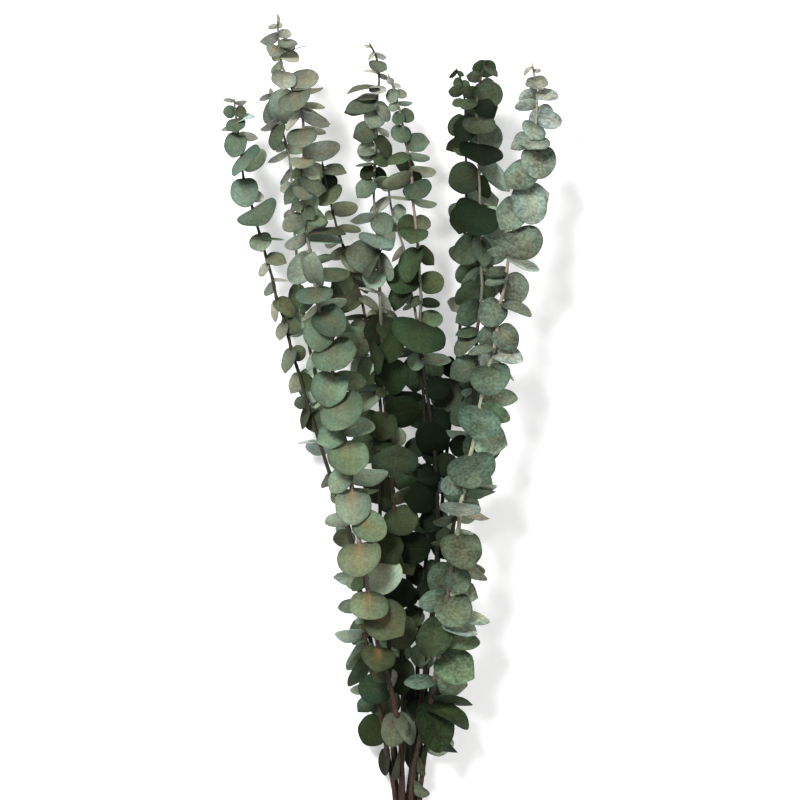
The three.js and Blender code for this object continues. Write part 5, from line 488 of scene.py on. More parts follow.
            [20.94, -14.9, -10.0, 0.0, 26.5, 24.7, 0.070, -0.026, 14, 3, 0.0, 1.0],
            [22.50, -14.7, -10.4, 36.7, 22.0, 23.0, 0.050, 0.050, 15, 6, 0.0, 1.0],
            [2.81, 29.4, 14.9, 5.8, 21.8, 20.7, -0.024, 0.055, 7, 8, 0.0, 1.0],
            [9.38, -73.0, -45.0, -1.4, 29.3, 24.5, 0.051, 0.051, 9, 1, 0.0, 1.0],
            [16.19, -20.5, -6.9, -8.1, 25.9, 24.8, 0.061, -0.028, 13, 0, 0.0, 1.0],
            [7.44, -19.5, -10.0, -0.0, 26.3, 24.4, 0.035, 0.047, 16, 0, 0.0, 1.0],
        ],
    },
    {
        "name": "leafy_stem_09", "slot": "silver_foliage",
        "points": [[100.0, 256.1, 66.0], [102.3, 242.4, 66.0], [103.8, 227.3, 66.0], [103.0, 208.3, 66.0], [101.5, 191.7, 66.0], [97.7, 170.4, 66.0], [92.4, 150.0, 66.0], [85.6, 127.3, 66.0], [81.8, 104.5, 66.0], [79.5, 87.1, 66.0], [75.8, 72.0, 66.0], [73.5, 53.8, 66.0], [71.2, 37.9, 65.0], [66.7, 22.7, 65.0], [62.1, 3.0, 65.0], [59.1, -15.2, 65.0], [55.3, -34.1, 65.0], [51.5, -49.3, 65.0], [48.5, -65.9, 65.0], [46.2, -79.6, 65.0], [44.0, -100.0, 65.0], [39.4, -125.9, 64.0], [35.7, -149.5, 62.0], [32.7, -168.7, 59.0], [29.0, -195.2, 52.0], [26.0, -218.0, 45.0], [23.8, -231.6, 40.0], [19.2, -246.0, 34.0], [13.1, -271.8, 25.0], [10.4, -287.7, 21.0], [8.5, -306.7, 18.0], [10.1, -341.1, 16.5], [10.9, -373.0, 15.5]],
        "radii": [0.55, 0.78, 0.83, 0.89, 0.94, 0.99, 1.04, 1.10, 1.15, 1.19, 1.22, 1.26, 1.29, 1.32, 1.36, 1.40, 1.44, 1.47, 1.50, 1.53, 1.57, 1.62, 1.66, 1.69, 1.74, 1.78, 1.80, 1.83, 1.87, 1.90, 1.93, 1.99, 2.04],
        "twig": [(0.359, 0.378, 0.279), (0.352, 0.365, 0.270), (0.345, 0.350, 0.261), (0.335, 0.330, 0.249), (0.327, 0.314, 0.239), (0.316, 0.292, 0.225), (0.306, 0.272, 0.212), (0.294, 0.249, 0.198), (0.283, 0.226, 0.184), (0.289, 0.237, 0.191), (0.300, 0.260, 0.205), (0.314, 0.287, 0.222), (0.326, 0.311, 0.237), (0.337, 0.334, 0.251), (0.352, 0.364, 0.270), (0.360, 0.380, 0.280), (0.360, 0.380, 0.280), (0.360, 0.380, 0.280), (0.360, 0.380, 0.280), (0.360, 0.380, 0.280), (0.287, 0.299, 0.220), (0.079, 0.070, 0.050), (0.142, 0.111, 0.088), (0.222, 0.174, 0.141), (0.220, 0.173, 0.140), (0.111, 0.087, 0.067), (0.055, 0.043, 0.030), (0.055, 0.043, 0.030), (0.055, 0.043, 0.030), (0.057, 0.041, 0.029), (0.061, 0.037, 0.028), (0.062, 0.036, 0.028), (0.062, 0.036, 0.028)],
        "leaves": [
            [0.25, -132.6, 10.0, 63.8, 10.0, 8.6, 0.056, 0.051, 14, 14, 0.0, 1.5],
            [0.50, -1.0, 10.0, -19.0, 5.7, 4.0, 0.067, -0.030, 14, 14, 0.0, 1.5],
            [0.81, -65.9, 37.1, -17.3, 15.1, 16.7, -0.041, -0.025, 12, 14, 0.0, 1.5],
            [1.19, -177.6, -10.0, -20.1, 8.1, 5.6, -0.040, 0.034, 15, 11, 0.0, 1.5],
            [1.69, -163.0, 8.0, -34.6, 14.9, 12.9, 0.062, -0.021, 14, 8, 0.0, 1.5],
            [1.75, -9.1, 10.0, -41.9, 16.6, 14.2, 0.027, 0.060, 14, 8, 0.0, 1.5],
            [2.19, -170.8, -10.0, -59.1, 17.2, 14.8, -0.028, -0.004, 16, 4, 0.0, 1.5],
            [2.31, -63.9, -39.3, -11.4, 20.1, 21.6, 0.066, -0.001, 15, 8, 0.0, 1.5],
            [2.62, -14.1, 10.0, 42.0, 20.2, 17.3, 0.066, -0.029, 15, 5, 0.0, 1.5],
            [2.94, -112.1, 40.1, -11.4, 18.7, 20.1, 0.050, 0.036, 13, 5, 0.0, 1.5],
            [3.44, -115.5, 54.3, 11.4, 25.2, 27.0, 0.025, -0.025, 13, 8, 0.0, 1.5],
            [4.00, -76.0, 11.4, -11.4, 25.5, 27.0, 0.057, 0.025, 12, 8, 0.0, 1.5],
            [4.62, -133.1, 21.5, 16.4, 28.7, 23.7, -0.019, -0.019, 11, 8, 0.0, 1.5],
            [5.38, -80.9, 16.8, -7.7, 32.0, 26.8, -0.014, -0.015, 13, 5, 0.0, 1.5],
            [6.00, -128.2, 10.0, 4.5, 27.4, 23.6, 0.047, 0.054, 11, 8, 0.0, 1.5],
            [6.94, -61.0, 31.0, -11.4, 30.2, 32.5, 0.037, 0.034, 10, 11, 0.0, 1.5],
            [7.75, -28.1, 10.0, -64.0, 26.1, 22.5, -0.013, -0.014, 16, 4, 0.0, 1.5],
            [7.75, 167.2, -10.0, 48.7, 17.4, 14.9, 0.046, 0.059, 11, 8, 0.0, 1.5],
            [8.56, -56.8, -24.4, 6.1, 25.3, 22.9, 0.040, 0.012, 11, 11, 0.0, 1.5],
            [8.69, -164.7, 10.0, 58.3, 16.8, 14.4, 0.038, -0.005, 11, 5, 0.0, 1.5],
            [8.38, -175.7, -10.0, 53.1, 17.6, 15.1, 0.027, -0.004, 8, 11, 0.0, 1.5],
            [9.94, -23.5, 10.0, -63.6, 25.8, 22.2, 0.062, 0.026, 11, 11, 0.0, 1.5],
            [9.88, -129.3, 10.0, -0.0, 22.5, 21.2, 0.038, 0.010, 10, 8, 0.0, 1.5],
            [10.94, -48.7, 10.0, -0.0, 21.9, 19.7, 0.068, 0.057, 10, 11, 0.0, 1.5],
            [10.94, -126.8, -32.8, -0.0, 21.9, 18.2, 0.060, 0.048, 10, 8, 0.0, 1.5],
            [11.88, -166.2, 6.6, 65.6, 20.8, 16.5, 0.055, 0.016, 11, 11, 0.0, 1.5],
            [12.12, -16.0, 10.0, -48.0, 23.7, 20.4, 0.030, 0.041, 14, 8, 0.0, 1.5],
            [12.75, -85.4, 36.5, 11.0, 28.8, 30.9, 0.053, 0.029, 9, 5, 0.0, 1.5],
            [12.69, -36.3, -10.0, -76.4, 22.9, 19.3, 0.053, 0.026, 14, 4, 0.0, 1.5],
            [13.94, -7.3, -10.0, 52.8, 27.7, 23.8, 0.031, 0.012, 14, 3, 0.0, 1.5],
            [14.44, -97.1, 34.4, -11.4, 30.9, 33.2, 0.038, 0.019, 10, 2, 0.0, 1.5],
            [14.50, -23.3, -10.6, 49.3, 25.2, 20.9, -0.040, -0.025, 12, 0, 0.0, 1.5],
            [15.44, -62.4, -26.5, -11.4, 29.5, 31.7, 0.033, 0.004, 7, 8, 0.0, 1.5],
            [16.44, -84.6, 41.4, 11.4, 34.5, 37.1, 0.044, 0.033, 9, 5, 0.0, 1.5],
            [17.81, -169.6, 10.1, 2.2, 19.0, 16.7, 0.054, 0.031, 11, 5, 0.0, 1.5],
            [17.88, -2.8, 10.0, 71.6, 25.1, 21.6, 0.050, 0.021, 16, 0, 0.0, 1.5],
            [18.12, -6.4, -10.0, 71.6, 25.1, 21.6, 0.045, 0.005, 10, 0, 0.0, 1.5],
            [18.88, -106.1, 71.4, 12.7, 28.8, 31.1, -0.032, 0.002, 13, 8, 0.0, 1.5],
            [18.94, -7.2, -10.0, 48.4, 14.6, 12.6, 0.051, 0.050, 11, 13, 0.0, 1.5],
            [19.31, -10.4, 10.0, 72.4, 23.3, 20.1, 0.038, -0.019, 16, 12, 0.0, 1.5],
            [20.06, -77.8, 37.1, -9.8, 33.7, 30.8, 0.034, 0.059, 9, 10, 0.0, 1.5],
            [19.94, -13.9, 10.0, 55.6, 12.5, 10.7, 0.060, 0.022, 16, 1, 0.0, 1.5],
            [20.38, 177.0, 10.0, 71.7, 20.0, 14.8, -0.021, 0.037, 5, 14, 0.0, 1.5],
            [20.75, -37.0, -4.9, 62.8, 30.9, 24.8, -0.021, 0.059, 16, 3, 0.0, 1.5],
            [21.00, -127.6, -17.0, -0.0, 26.0, 22.7, -0.038, 0.037, 8, 5, 0.0, 1.5],
            [21.12, -57.4, 10.0, -0.0, 21.0, 19.7, 0.031, 0.026, 9, 5, 0.0, 1.5],
            [21.69, -18.9, -10.0, 9.0, 24.1, 20.0, 0.035, -0.028, 14, 3, 0.0, 1.5],
            [22.00, -63.0, 28.4, -11.2, 26.6, 28.6, -0.025, -0.009, 10, 7, 0.0, 1.5],
            [22.00, -168.3, 10.0, -27.2, 22.8, 19.6, 0.054, -0.013, 11, 2, 0.0, 1.5],
            [22.69, -10.3, -8.4, -69.3, 35.7, 26.5, 0.057, -0.022, 15, 3, 0.0, 1.5],
            [23.00, -17.4, 9.6, -58.2, 28.3, 24.5, -0.019, 0.044, 16, 1, 0.0, 1.5],
            [22.94, -117.0, 10.0, 13.0, 31.0, 26.5, 0.062, -0.013, 6, 3, 0.0, 1.5],
            [23.50, -7.6, -14.0, -49.6, 31.3, 23.5, 0.056, 0.033, 10, 3, 0.0, 1.5],
            [24.00, -31.4, 10.0, -12.3, 32.7, 28.1, 0.035, 0.017, 10, 0, 0.0, 1.5],
            [24.81, -173.3, 10.0, 63.6, 24.0, 20.6, 0.036, 0.014, 10, 2, 0.0, 1.5],
            [24.88, -6.5, 10.0, 39.0, 13.7, 11.8, -0.025, 0.031, 14, 0, 0.0, 1.5],
            [26.00, -82.0, 10.0, -32.9, 39.3, 33.8, 0.069, 0.016, 5, 3, 0.0, 1.5],
            [25.88, -8.4, -10.0, 67.5, 32.6, 28.1, -0.024, -0.022, 8, 0, 0.0, 1.5],
            [26.31, -27.8, 19.6, -69.9, 35.2, 29.0, 0.063, 0.042, 6, 9, 0.0, 1.5],
            [27.56, -20.2, -6.6, 64.8, 31.2, 23.6, 0.038, -0.012, 3, 0, 0.0, 0.6],
            [28.19, -67.9, 10.0, 57.2, 16.6, 14.2, -0.021, 0.000, 8, 12, 0.0, 1.5],
            [29.50, -36.2, 10.0, 45.3, 16.6, 14.3, 0.067, 0.057, 11, 10, 0.0, 1.5],
            [15.62, -15.3, -10.0, 0.0, 26.4, 24.3, -0.023, 0.009, 15, 0, 0.0, 1.5],
            [3.44, -149.2, -10.0, 46.6, 21.8, 18.7, 0.046, -0.008, 13, 8, 0.0, 1.5],
            [20.94, -14.9, -9.9, 62.4, 26.1, 26.7, 0.041, 0.007, 13, 12, 0.0, 1.5],
            [5.94, 15.3, -21.1, -10.5, 23.1, 20.8, 0.049, 0.054, 14, 11, 0.0, 1.5],
        ],
    },
    {
        "name": "leafy_stem_10", "slot": "deep_foliage",
        "points": [[-11.5, 175.0, 38.0], [-9.2, 165.0, 38.0], [-7.7, 153.5, 38.0], [-5.4, 142.0, 38.0], [-0.8, 128.2, 38.0], [3.8, 111.3, 38.0], [6.9, 89.8, 38.0], [10.7, 72.9, 37.0], [13.1, 57.6, 37.0], [14.6, 38.4, 36.0], [16.1, 21.5, 35.0], [18.5, -1.5, 34.0], [20.0, -33.9, 32.0], [22.3, -63.2, 30.0], [23.1, -80.9, 29.0], [22.4, -100.3, 27.0], [19.3, -131.4, 23.0], [16.3, -162.6, 19.0], [14.0, -193.8, 16.0], [13.2, -232.9, 13.0], [13.2, -272.1, 10.0], [12.4, -311.1, 9.0], [13.2, -350.2, 8.0], [13.2, -366.6, 7.6]],
        "radii": [0.55, 0.77, 0.82, 0.86, 0.91, 0.96, 1.02, 1.07, 1.11, 1.16, 1.21, 1.26, 1.34, 1.41, 1.45, 1.49, 1.56, 1.63, 1.69, 1.77, 1.85, 1.93, 2.01, 2.04],
        "twig": [(0.050, 0.047, 0.032), (0.079, 0.078, 0.057), (0.113, 0.113, 0.086), (0.146, 0.149, 0.116), (0.180, 0.185, 0.145), (0.180, 0.185, 0.145), (0.180, 0.185, 0.145), (0.163, 0.167, 0.130), (0.096, 0.096, 0.072), (0.040, 0.038, 0.025), (0.029, 0.028, 0.018), (0.015, 0.016, 0.010), (0.015, 0.016, 0.010), (0.015, 0.016, 0.010), (0.015, 0.016, 0.010), (0.015, 0.016, 0.010), (0.015, 0.016, 0.010), (0.015, 0.016, 0.010), (0.015, 0.016, 0.010), (0.015, 0.016, 0.010), (0.035, 0.029, 0.020), (0.055, 0.043, 0.030), (0.058, 0.039, 0.029), (0.060, 0.038, 0.029)],
        "leaves": [
            [0.88, -118.7, -54.8, -11.4, 10.2, 11.0, 0.052, -0.012, 16, 0, 0.0, 0.8],
            [1.88, -137.7, 0.7, 58.9, 20.4, 17.8, 0.025, 0.007, 13, 11, 0.0, 0.8],
            [2.94, 16.7, 24.1, -11.4, 11.6, 12.5, -0.028, 0.035, 12, 5, 0.0, 0.8],
            [3.00, -62.1, 11.4, 11.4, 15.1, 15.7, 0.048, -0.026, 15, 0, 0.0, 0.8],
            [4.62, -124.5, -10.0, -69.1, 15.0, 12.9, 0.037, -0.021, 16, 10, 0.0, 0.8],
            [5.88, -112.7, 10.0, 42.8, 27.2, 20.9, 0.043, 0.034, 5, 8, 0.0, 0.8],
            [6.31, -99.3, -9.8, 49.4, 12.3, 10.6, 0.059, 0.018, 13, 14, 0.0, 0.8],
            [6.94, -150.5, 0.1, 56.7, 9.6, 8.4, -0.032, 0.042, 16, 4, 0.0, 0.8],
            [7.88, -139.4, -10.0, 32.8, 21.2, 18.3, 0.045, -0.021, 6, 0, 0.0, 0.8],
            [9.00, -177.6, -10.6, -72.8, 30.1, 25.9, -0.019, 0.037, 6, 0, 0.0, 0.8],
            [9.25, -97.2, -20.6, -13.9, 31.0, 25.3, 0.055, 0.005, 9, 0, 0.0, 0.8],
            [9.38, -38.7, -10.0, 15.9, 22.3, 19.2, 0.035, 0.039, 10, 0, 0.0, 0.8],
            [11.00, -97.9, -42.6, 12.6, 30.6, 33.1, 0.034, 0.031, 6, 0, 0.0, 0.8],
            [10.94, -179.7, -14.7, -47.6, 30.1, 22.8, 0.056, -0.014, 2, 0, 0.0, 0.6],
            [12.00, -160.0, -10.0, 11.9, 18.3, 15.7, -0.020, 0.059, 3, 0, 0.0, 0.6],
            [12.06, -45.2, -5.8, -11.4, 16.1, 17.3, 0.022, 0.042, 2, 0, 0.0, 0.6],
            [13.00, -28.3, -21.2, 20.0, 14.0, 16.4, 0.050, 0.002, 16, 2, 0.0, 0.8],
            [13.44, -163.9, 10.0, -66.6, 22.5, 19.4, 0.063, -0.013, 8, 0, 0.0, 0.8],
            [14.75, -163.0, -9.5, 6.1, 14.3, 12.4, -0.016, 0.026, 11, 0, 0.0, 0.8],
            [16.00, -152.2, -22.2, -11.4, 17.9, 18.9, 0.023, 0.027, 2, 0, 0.0, 0.6],
            [17.00, -136.7, -10.0, 11.9, 18.4, 17.4, 0.043, 0.057, 7, 6, 0.0, 0.8],
            [18.00, -56.3, -7.7, 17.7, 16.9, 17.9, 0.056, -0.023, 16, 1, 0.0, 0.8],
            [18.81, -139.4, -31.1, 11.4, 13.3, 14.3, 0.023, -0.012, 2, 0, 0.0, 0.6],
        ],
    },
]

MM = 0.001
GAIN = 0.85


# ------------------------------------------------------------------ curves
def curve_at(P, u):
    """Uniform Catmull-Rom through P at u, in control points."""
    n = len(P)
    i = min(int(u), n - 2)
    f = u - i
    p1, p2 = P[i], P[i + 1]
    p0 = P[i - 1] if i > 0 else 2 * P[0] - P[1]
    p3 = P[i + 2] if i + 2 < n else 2 * P[n - 1] - P[n - 2]
    return 0.5 * (2 * p1 + (p2 - p0) * f + (2 * p0 - 5 * p1 + 4 * p2 - p3) * f * f + (3 * p1 - p0 - 3 * p2 + p3) * f**3)


def radius_at(radii, u):
    i = min(int(u), len(radii) - 2)
    return radii[i] + (radii[i + 1] - radii[i]) * (u - i)


def leaf_axes(yaw, pitch, roll):
    y, p, r = (math.radians(v) for v in (yaw, pitch, roll))
    d = np.array([math.cos(p) * math.cos(y), math.cos(p) * math.sin(y), math.sin(p)])
    w0 = np.array([-math.sin(y), math.cos(y), 0.0])
    n0 = np.cross(d, w0)
    w = math.cos(r) * w0 + math.sin(r) * n0
    return d, w, np.cross(d, w)


# ------------------------------------------------------------------ leaves
def leaf_mesh(B, row, seed):
    """Grid points of one closed leaf shell, its faces, and what its finish reads."""
    u, yaw, pitch, roll, L, W, arch, cup, level, family, red, mottle = row
    rs = np.random.RandomState(seed)
    d, w, n = leaf_axes(yaw, pitch, roll)
    nx, ny = (16, 12) if L > 22 else (12, 8) if L > 11 else (8, 6)
    a = 0.5 * (1 - np.cos(np.pi * np.arange(nx + 1) / nx))
    c = np.sin(np.pi / 2 * np.linspace(-1, 1, ny + 1))
    A, C = np.meshgrid(a, c, indexing="ij")
    # a broad ovate outline, nearly round, with a blunt or slightly pointed tip
    skew = rs.uniform(0.84, 0.98)
    p = rs.uniform(2.05, 2.5)
    t = 2 * A**skew - 1
    half = np.clip(1 - np.abs(t) ** p, 0, 1) ** 0.5
    point = rs.choice([0.1, 0.35, 0.75]) if L > 11 else rs.uniform(0.2, 0.6)
    half = half * (1 - point * np.clip((A - 0.66) / 0.34, 0, 1) ** 1.7)
    k1, f1 = rs.uniform(0.0, 0.03), rs.uniform(0, 6.28)
    half = half * (1 + k1 * np.sin(5 * A + f1) * np.sign(C)) + 0.012
    Y = C * half * W / 2
    cc = C * np.clip(half, 0, 1)
    H = arch * L * 4 * A * (1 - A) + cup * W * cc * cc * np.clip(4 * A * (1.15 - A), 0, 1)
    # small ripples, a curled tip and a shallow fold along the midrib
    rip, fr, ph = rs.uniform(0.004, 0.016), rs.uniform(0.7, 1.6), rs.uniform(0, 6.28)
    H = H + rip * W * cc**2 * np.sin(6.28 * fr * A + ph + 1.3 * np.sign(C))
    H = H + rs.uniform(-0.05, 0.04) * L * (np.clip(A - 0.55, 0, 1) / 0.45) ** 2
    H = H + rs.uniform(-0.035, 0.05) * W * np.abs(cc) ** 1.5
    H = H + rs.uniform(-0.05, 0.05) * W * np.clip(cc * rs.choice([-1, 1]) - 0.35, 0, 1) ** 1.3
    th = 0.42 if L > 11 else 0.34
    edge = np.clip(1 - np.abs(C) ** 8, 0, 1) * np.clip(1 - np.abs(2 * A - 1) ** 12, 0, 1)
    T = th * (0.42 + 0.58 * edge) / 2
    # the base is notched where it clasps the twig
    notch = rs.uniform(0.05, 0.16) if L > 15 else 0.03
    X = A - notch * np.abs(cc) ** 1.4 * (1 - A) ** 2.5
    base = B + np.multiply.outer(X * L, d) + np.multiply.outer(Y, w)
    top = base + np.multiply.outer(H + T, n)
    bot = base + np.multiply.outer(H - T, n)
    nv = (nx + 1) * (ny + 1)
    V = np.concatenate([top.reshape(-1, 3), bot.reshape(-1, 3)])
    idx = np.arange(nv).reshape(nx + 1, ny + 1)
    q = np.stack([idx[:-1, :-1], idx[1:, :-1], idx[1:, 1:], idx[:-1, 1:]], -1).reshape(-1, 4)
    F = [q, q[:, ::-1] + nv]
    ring = np.concatenate([idx[:-1, 0], idx[-1, :-1], idx[:0:-1, -1], idx[0, :0:-1]])
    nxt = np.roll(ring, -1)
    F.append(np.stack([nxt, ring, ring + nv, nxt + nv], -1))
    F = np.concatenate(F)
    # places for the finish: share of length, signed share of width, edge nearness
    lf = np.stack([A, C, np.full_like(A, rs.uniform())], -1).reshape(-1, 3)
    lf = np.concatenate([lf, lf])
    side = np.concatenate([np.ones(nv), -np.ones(nv)])
    aux = np.stack([np.full(2 * nv, red), np.full(2 * nv, mottle), side], -1)
    tone = np.array(TINTS[family]) * np.array(LEVELS[level]) * GAIN
    # flat layout of each side, for the baked maps
    uvp = np.stack([(X + notch) / (1 + notch) - 0.5, C * half * 0.5 * min(1.0, W / L)], -1).reshape(-1, 2)
    return V, F, lf, aux, tone, uvp, nv, len(q)


def leaf_piece(name, stem, P, rows, seed0):
    Vs, Fs, LF, AX, TN, UV = [], [], [], [], [], []
    off = 0
    cells = 2 * len(rows)
    cols = max(1, math.ceil(math.sqrt(cells)))
    size = 1.0 / cols
    for k, row in enumerate(rows):
        B = curve_at(P, row[0])
        V, F, lf, aux, tone, uvp, nv, nq = leaf_mesh(B, row, seed0 + k)
        Vs.append(V)
        Fs.append(F + off)
        LF.append(lf)
        AX.append(aux)
        TN.append(np.tile(np.append(tone, 1.0), (len(V), 1)))
        for s in range(2):
            cell = 2 * k + s
            ox, oy = (cell % cols + 0.5) * size, (cell // cols + 0.5) * size
            part = F[s * nq:(s + 1) * nq] % nv
            UV.append(np.array([ox, oy]) + uvp[part].reshape(-1, 2) * size * 0.86)
        rim = F[2 * nq:]
        ox, oy = ((2 * k) % cols + 0.5) * size, ((2 * k) // cols + 0.5) * size
        grow = np.where(rim >= nv, 1.07, 1.0)[..., None]
        UV.append(np.array([ox, oy]) + (uvp[rim % nv] * grow).reshape(-1, 2) * size * 0.86)
        off += len(V)
    V = np.concatenate(Vs)
    V[:, 2] = np.maximum(V[:, 2], 0.25)
    F = np.concatenate(Fs)
    me = bpy.data.meshes.new(name)
    me.from_pydata((V * MM).tolist(), [], F.tolist())
    for attr, kind, data in (("lf", "FLOAT_VECTOR", LF), ("aux", "FLOAT_VECTOR", AX)):
        at = me.attributes.new(attr, kind, "POINT")
        at.data.foreach_set("vector", np.concatenate(data).astype(np.float32).ravel())
    at = me.attributes.new("tone", "FLOAT_COLOR", "POINT")
    at.data.foreach_set("color", np.concatenate(TN).astype(np.float32).ravel())
    uv = me.uv_layers.new(name="OFBake")
    uv.data.foreach_set("uv", np.concatenate(UV).astype(np.float32).ravel())
    me.shade_smooth()
    me.update()
    ob = bpy.data.objects.new(name, me)
    bpy.context.scene.collection.objects.link(ob)
    return ob


# ------------------------------------------------------------------ twigs
TWIG_SIDES = 10


def twig_piece(name, P, radii, nodes, tones, seed):
    """A tapered twig with a swelling at each pair of leaves and a clean cut."""
    rs = np.random.RandomState(seed)
    fine = np.linspace(0, len(P) - 1, (len(P) - 1) * 24 + 1)
    C = np.array([curve_at(P, u) for u in fine])
    s = np.concatenate([[0], np.cumsum(np.linalg.norm(np.diff(C, axis=0), axis=1))])
    rings = int(s[-1] / 2.2)
    us = np.interp(np.linspace(0, s[-1], rings + 1), s, fine)
    sm = np.linspace(0, s[-1], rings + 1)
    node_s = np.interp(np.array(sorted(nodes)), fine, s)
    V, LF, TN, UV = [], [], [], []
    wob = [rs.uniform(-1, 1, (rings + 1)) for _ in range(2)]
    wob = [np.convolve(v, np.ones(9) / 9, "same") * 0.35 for v in wob]
    prev = np.array([0.0, 0.0, 1.0])
    for k, u in enumerate(us):
        c0 = curve_at(P, u)
        du = 0.02
        t = curve_at(P, min(u + du, len(P) - 1)) - curve_at(P, max(u - du, 0))
        t /= np.linalg.norm(t)
        side = np.cross(prev, t)
        side /= np.linalg.norm(side)
        up = np.cross(t, side)
        near = np.exp(-((sm[k] - node_s) / 1.5) ** 2)
        r = radius_at(radii, u) * (1 + 0.30 * min(1.0, near.sum())) * (1 + 0.03 * math.sin(sm[k] * 0.9 + seed))
        if k == 0:
            r *= 0.45
        for j in range(TWIG_SIDES):
            th = 2 * math.pi * j / TWIG_SIDES
            V.append(c0 + side * (wob[0][k] + r * math.cos(th)) + up * (wob[1][k] + r * math.sin(th)))
            LF.append((sm[k] / 100.0, math.cos(th), math.sin(th)))
        x = u
        i = min(int(x), len(tones) - 2)
        col = np.array(tones[i]) * (1 - (x - i)) + np.array(tones[i + 1]) * (x - i)
        TN += [tuple(col * GAIN * (1 - 0.22 * min(1.0, near.sum()))) + (1.0,)] * TWIG_SIDES
    N = TWIG_SIDES
    F = []
    rows = 8                       # the strip is cut into rows so that its map is well filled
    per = math.ceil(rings / rows)
    for k in range(rings):
        row, col = divmod(k, per)
        for j in range(N):
            j2 = (j + 1) % N
            F.append((k * N + j, k * N + j2, (k + 1) * N + j2, (k + 1) * N + j))
            x0, x1 = 0.01 + 0.98 * col / per, 0.01 + 0.98 * (col + 1) / per
            y0 = (row + 0.06 + 0.80 * j / N) / (rows + 0.6)
            y1 = (row + 0.06 + 0.80 * (j + 1) / N) / (rows + 0.6)
            UV += [(x0, y0), (x0, y1), (x1, y1), (x1, y0)]
    cap_y, cap_r = 1 - 0.03, 0.024
    for end, ring in ((0, 0), (1, rings)):
        v = [ring * N + j for j in range(N)]
        v = v[::-1] if end == 0 else v
        F.append(tuple(v))
        UV += [(0.1 + 0.2 * end + cap_r * math.cos(6.2832 * i / N), cap_y + cap_r * math.sin(6.2832 * i / N)) for i in range(N)]
    V = np.array(V)
    V[:, 2] = np.maximum(V[:, 2], 0.15)
    me = bpy.data.meshes.new(name)
    me.from_pydata((V * MM).tolist(), [], F)
    at = me.attributes.new("lf", "FLOAT_VECTOR", "POINT")
    at.data.foreach_set("vector", np.array(LF, np.float32).ravel())
    at = me.attributes.new("tone", "FLOAT_COLOR", "POINT")
    at.data.foreach_set("color", np.array(TN, np.float32).ravel())
    uv = me.uv_layers.new(name="OFBake")
    uv.data.foreach_set("uv", np.array(UV, np.float32).ravel())
    me.shade_smooth()
    ob = bpy.data.objects.new(name, me)
    bpy.context.scene.collection.objects.link(ob)
    return ob


# ------------------------------------------------------------------ finishes
class Nodes:
    """A small helper to write node trees as expressions."""

    def __init__(self, name):
        self.mat = bpy.data.materials.new(name)
        self.mat.use_nodes = True
        self.tree = self.mat.node_tree
        self.tree.nodes.clear()

    def add(self, kind, **props):
        nd = self.tree.nodes.new(kind)
        for k, v in props.items():
            setattr(nd, k, v)
        return nd

    def put(self, sock, v):
        if isinstance(v, bpy.types.NodeSocket):
            self.tree.links.new(v, sock)
        else:
            sock.default_value = v

    def math(self, op, a, b=0.0, clamp=False):
        nd = self.add("ShaderNodeMath", operation=op, use_clamp=clamp)
        self.put(nd.inputs[0], a)
        self.put(nd.inputs[1], b)
        return nd.outputs[0]

    def ramp(self, v, lo, hi, a=0.0, b=1.0):
        nd = self.add("ShaderNodeMapRange", interpolation_type="SMOOTHSTEP")
        for i, x in enumerate((v, lo, hi, a, b)):
            self.put(nd.inputs[i], x)
        return nd.outputs[0]

    def mix(self, f, a, b, blend="MIX"):
        nd = self.add("ShaderNodeMix", data_type="RGBA", blend_type=blend)
        self.put(nd.inputs[0], f)
        self.put(nd.inputs[6], a)
        self.put(nd.inputs[7], b)
        return nd.outputs[2]

    def attr(self, name):
        return self.add("ShaderNodeAttribute", attribute_name=name, attribute_type="GEOMETRY")

    def noise(self, vec, scale, detail=2.0, rough=0.5):
        nd = self.add("ShaderNodeTexNoise")
        self.put(nd.inputs["Vector"], vec)
        nd.inputs["Scale"].default_value = scale
        nd.inputs["Detail"].default_value = detail
        nd.inputs["Roughness"].default_value = rough
        return nd.outputs["Fac"]

    def scale(self, col, f):
        nd = self.add("ShaderNodeVectorMath", operation="SCALE")
        self.put(nd.inputs[0], col)
        self.put(nd.inputs[3], f)
        return nd.outputs[0]

    def finish(self, color, rough, spec, bump, strength, dist):
        b = self.add("ShaderNodeBump")
        b.inputs["Strength"].default_value = strength
        b.inputs["Distance"].default_value = dist
        self.put(b.inputs["Height"], bump)
        s = self.add("ShaderNodeBsdfPrincipled")
        self.put(s.inputs["Base Color"], color)
        self.put(s.inputs["Roughness"], rough)
        s.inputs["Specular IOR Level"].default_value = spec
        self.put(s.inputs["Normal"], b.outputs[0])
        out = self.add("ShaderNodeOutputMaterial")
        self.put(out.inputs[0], s.outputs[0])
        return self.mat


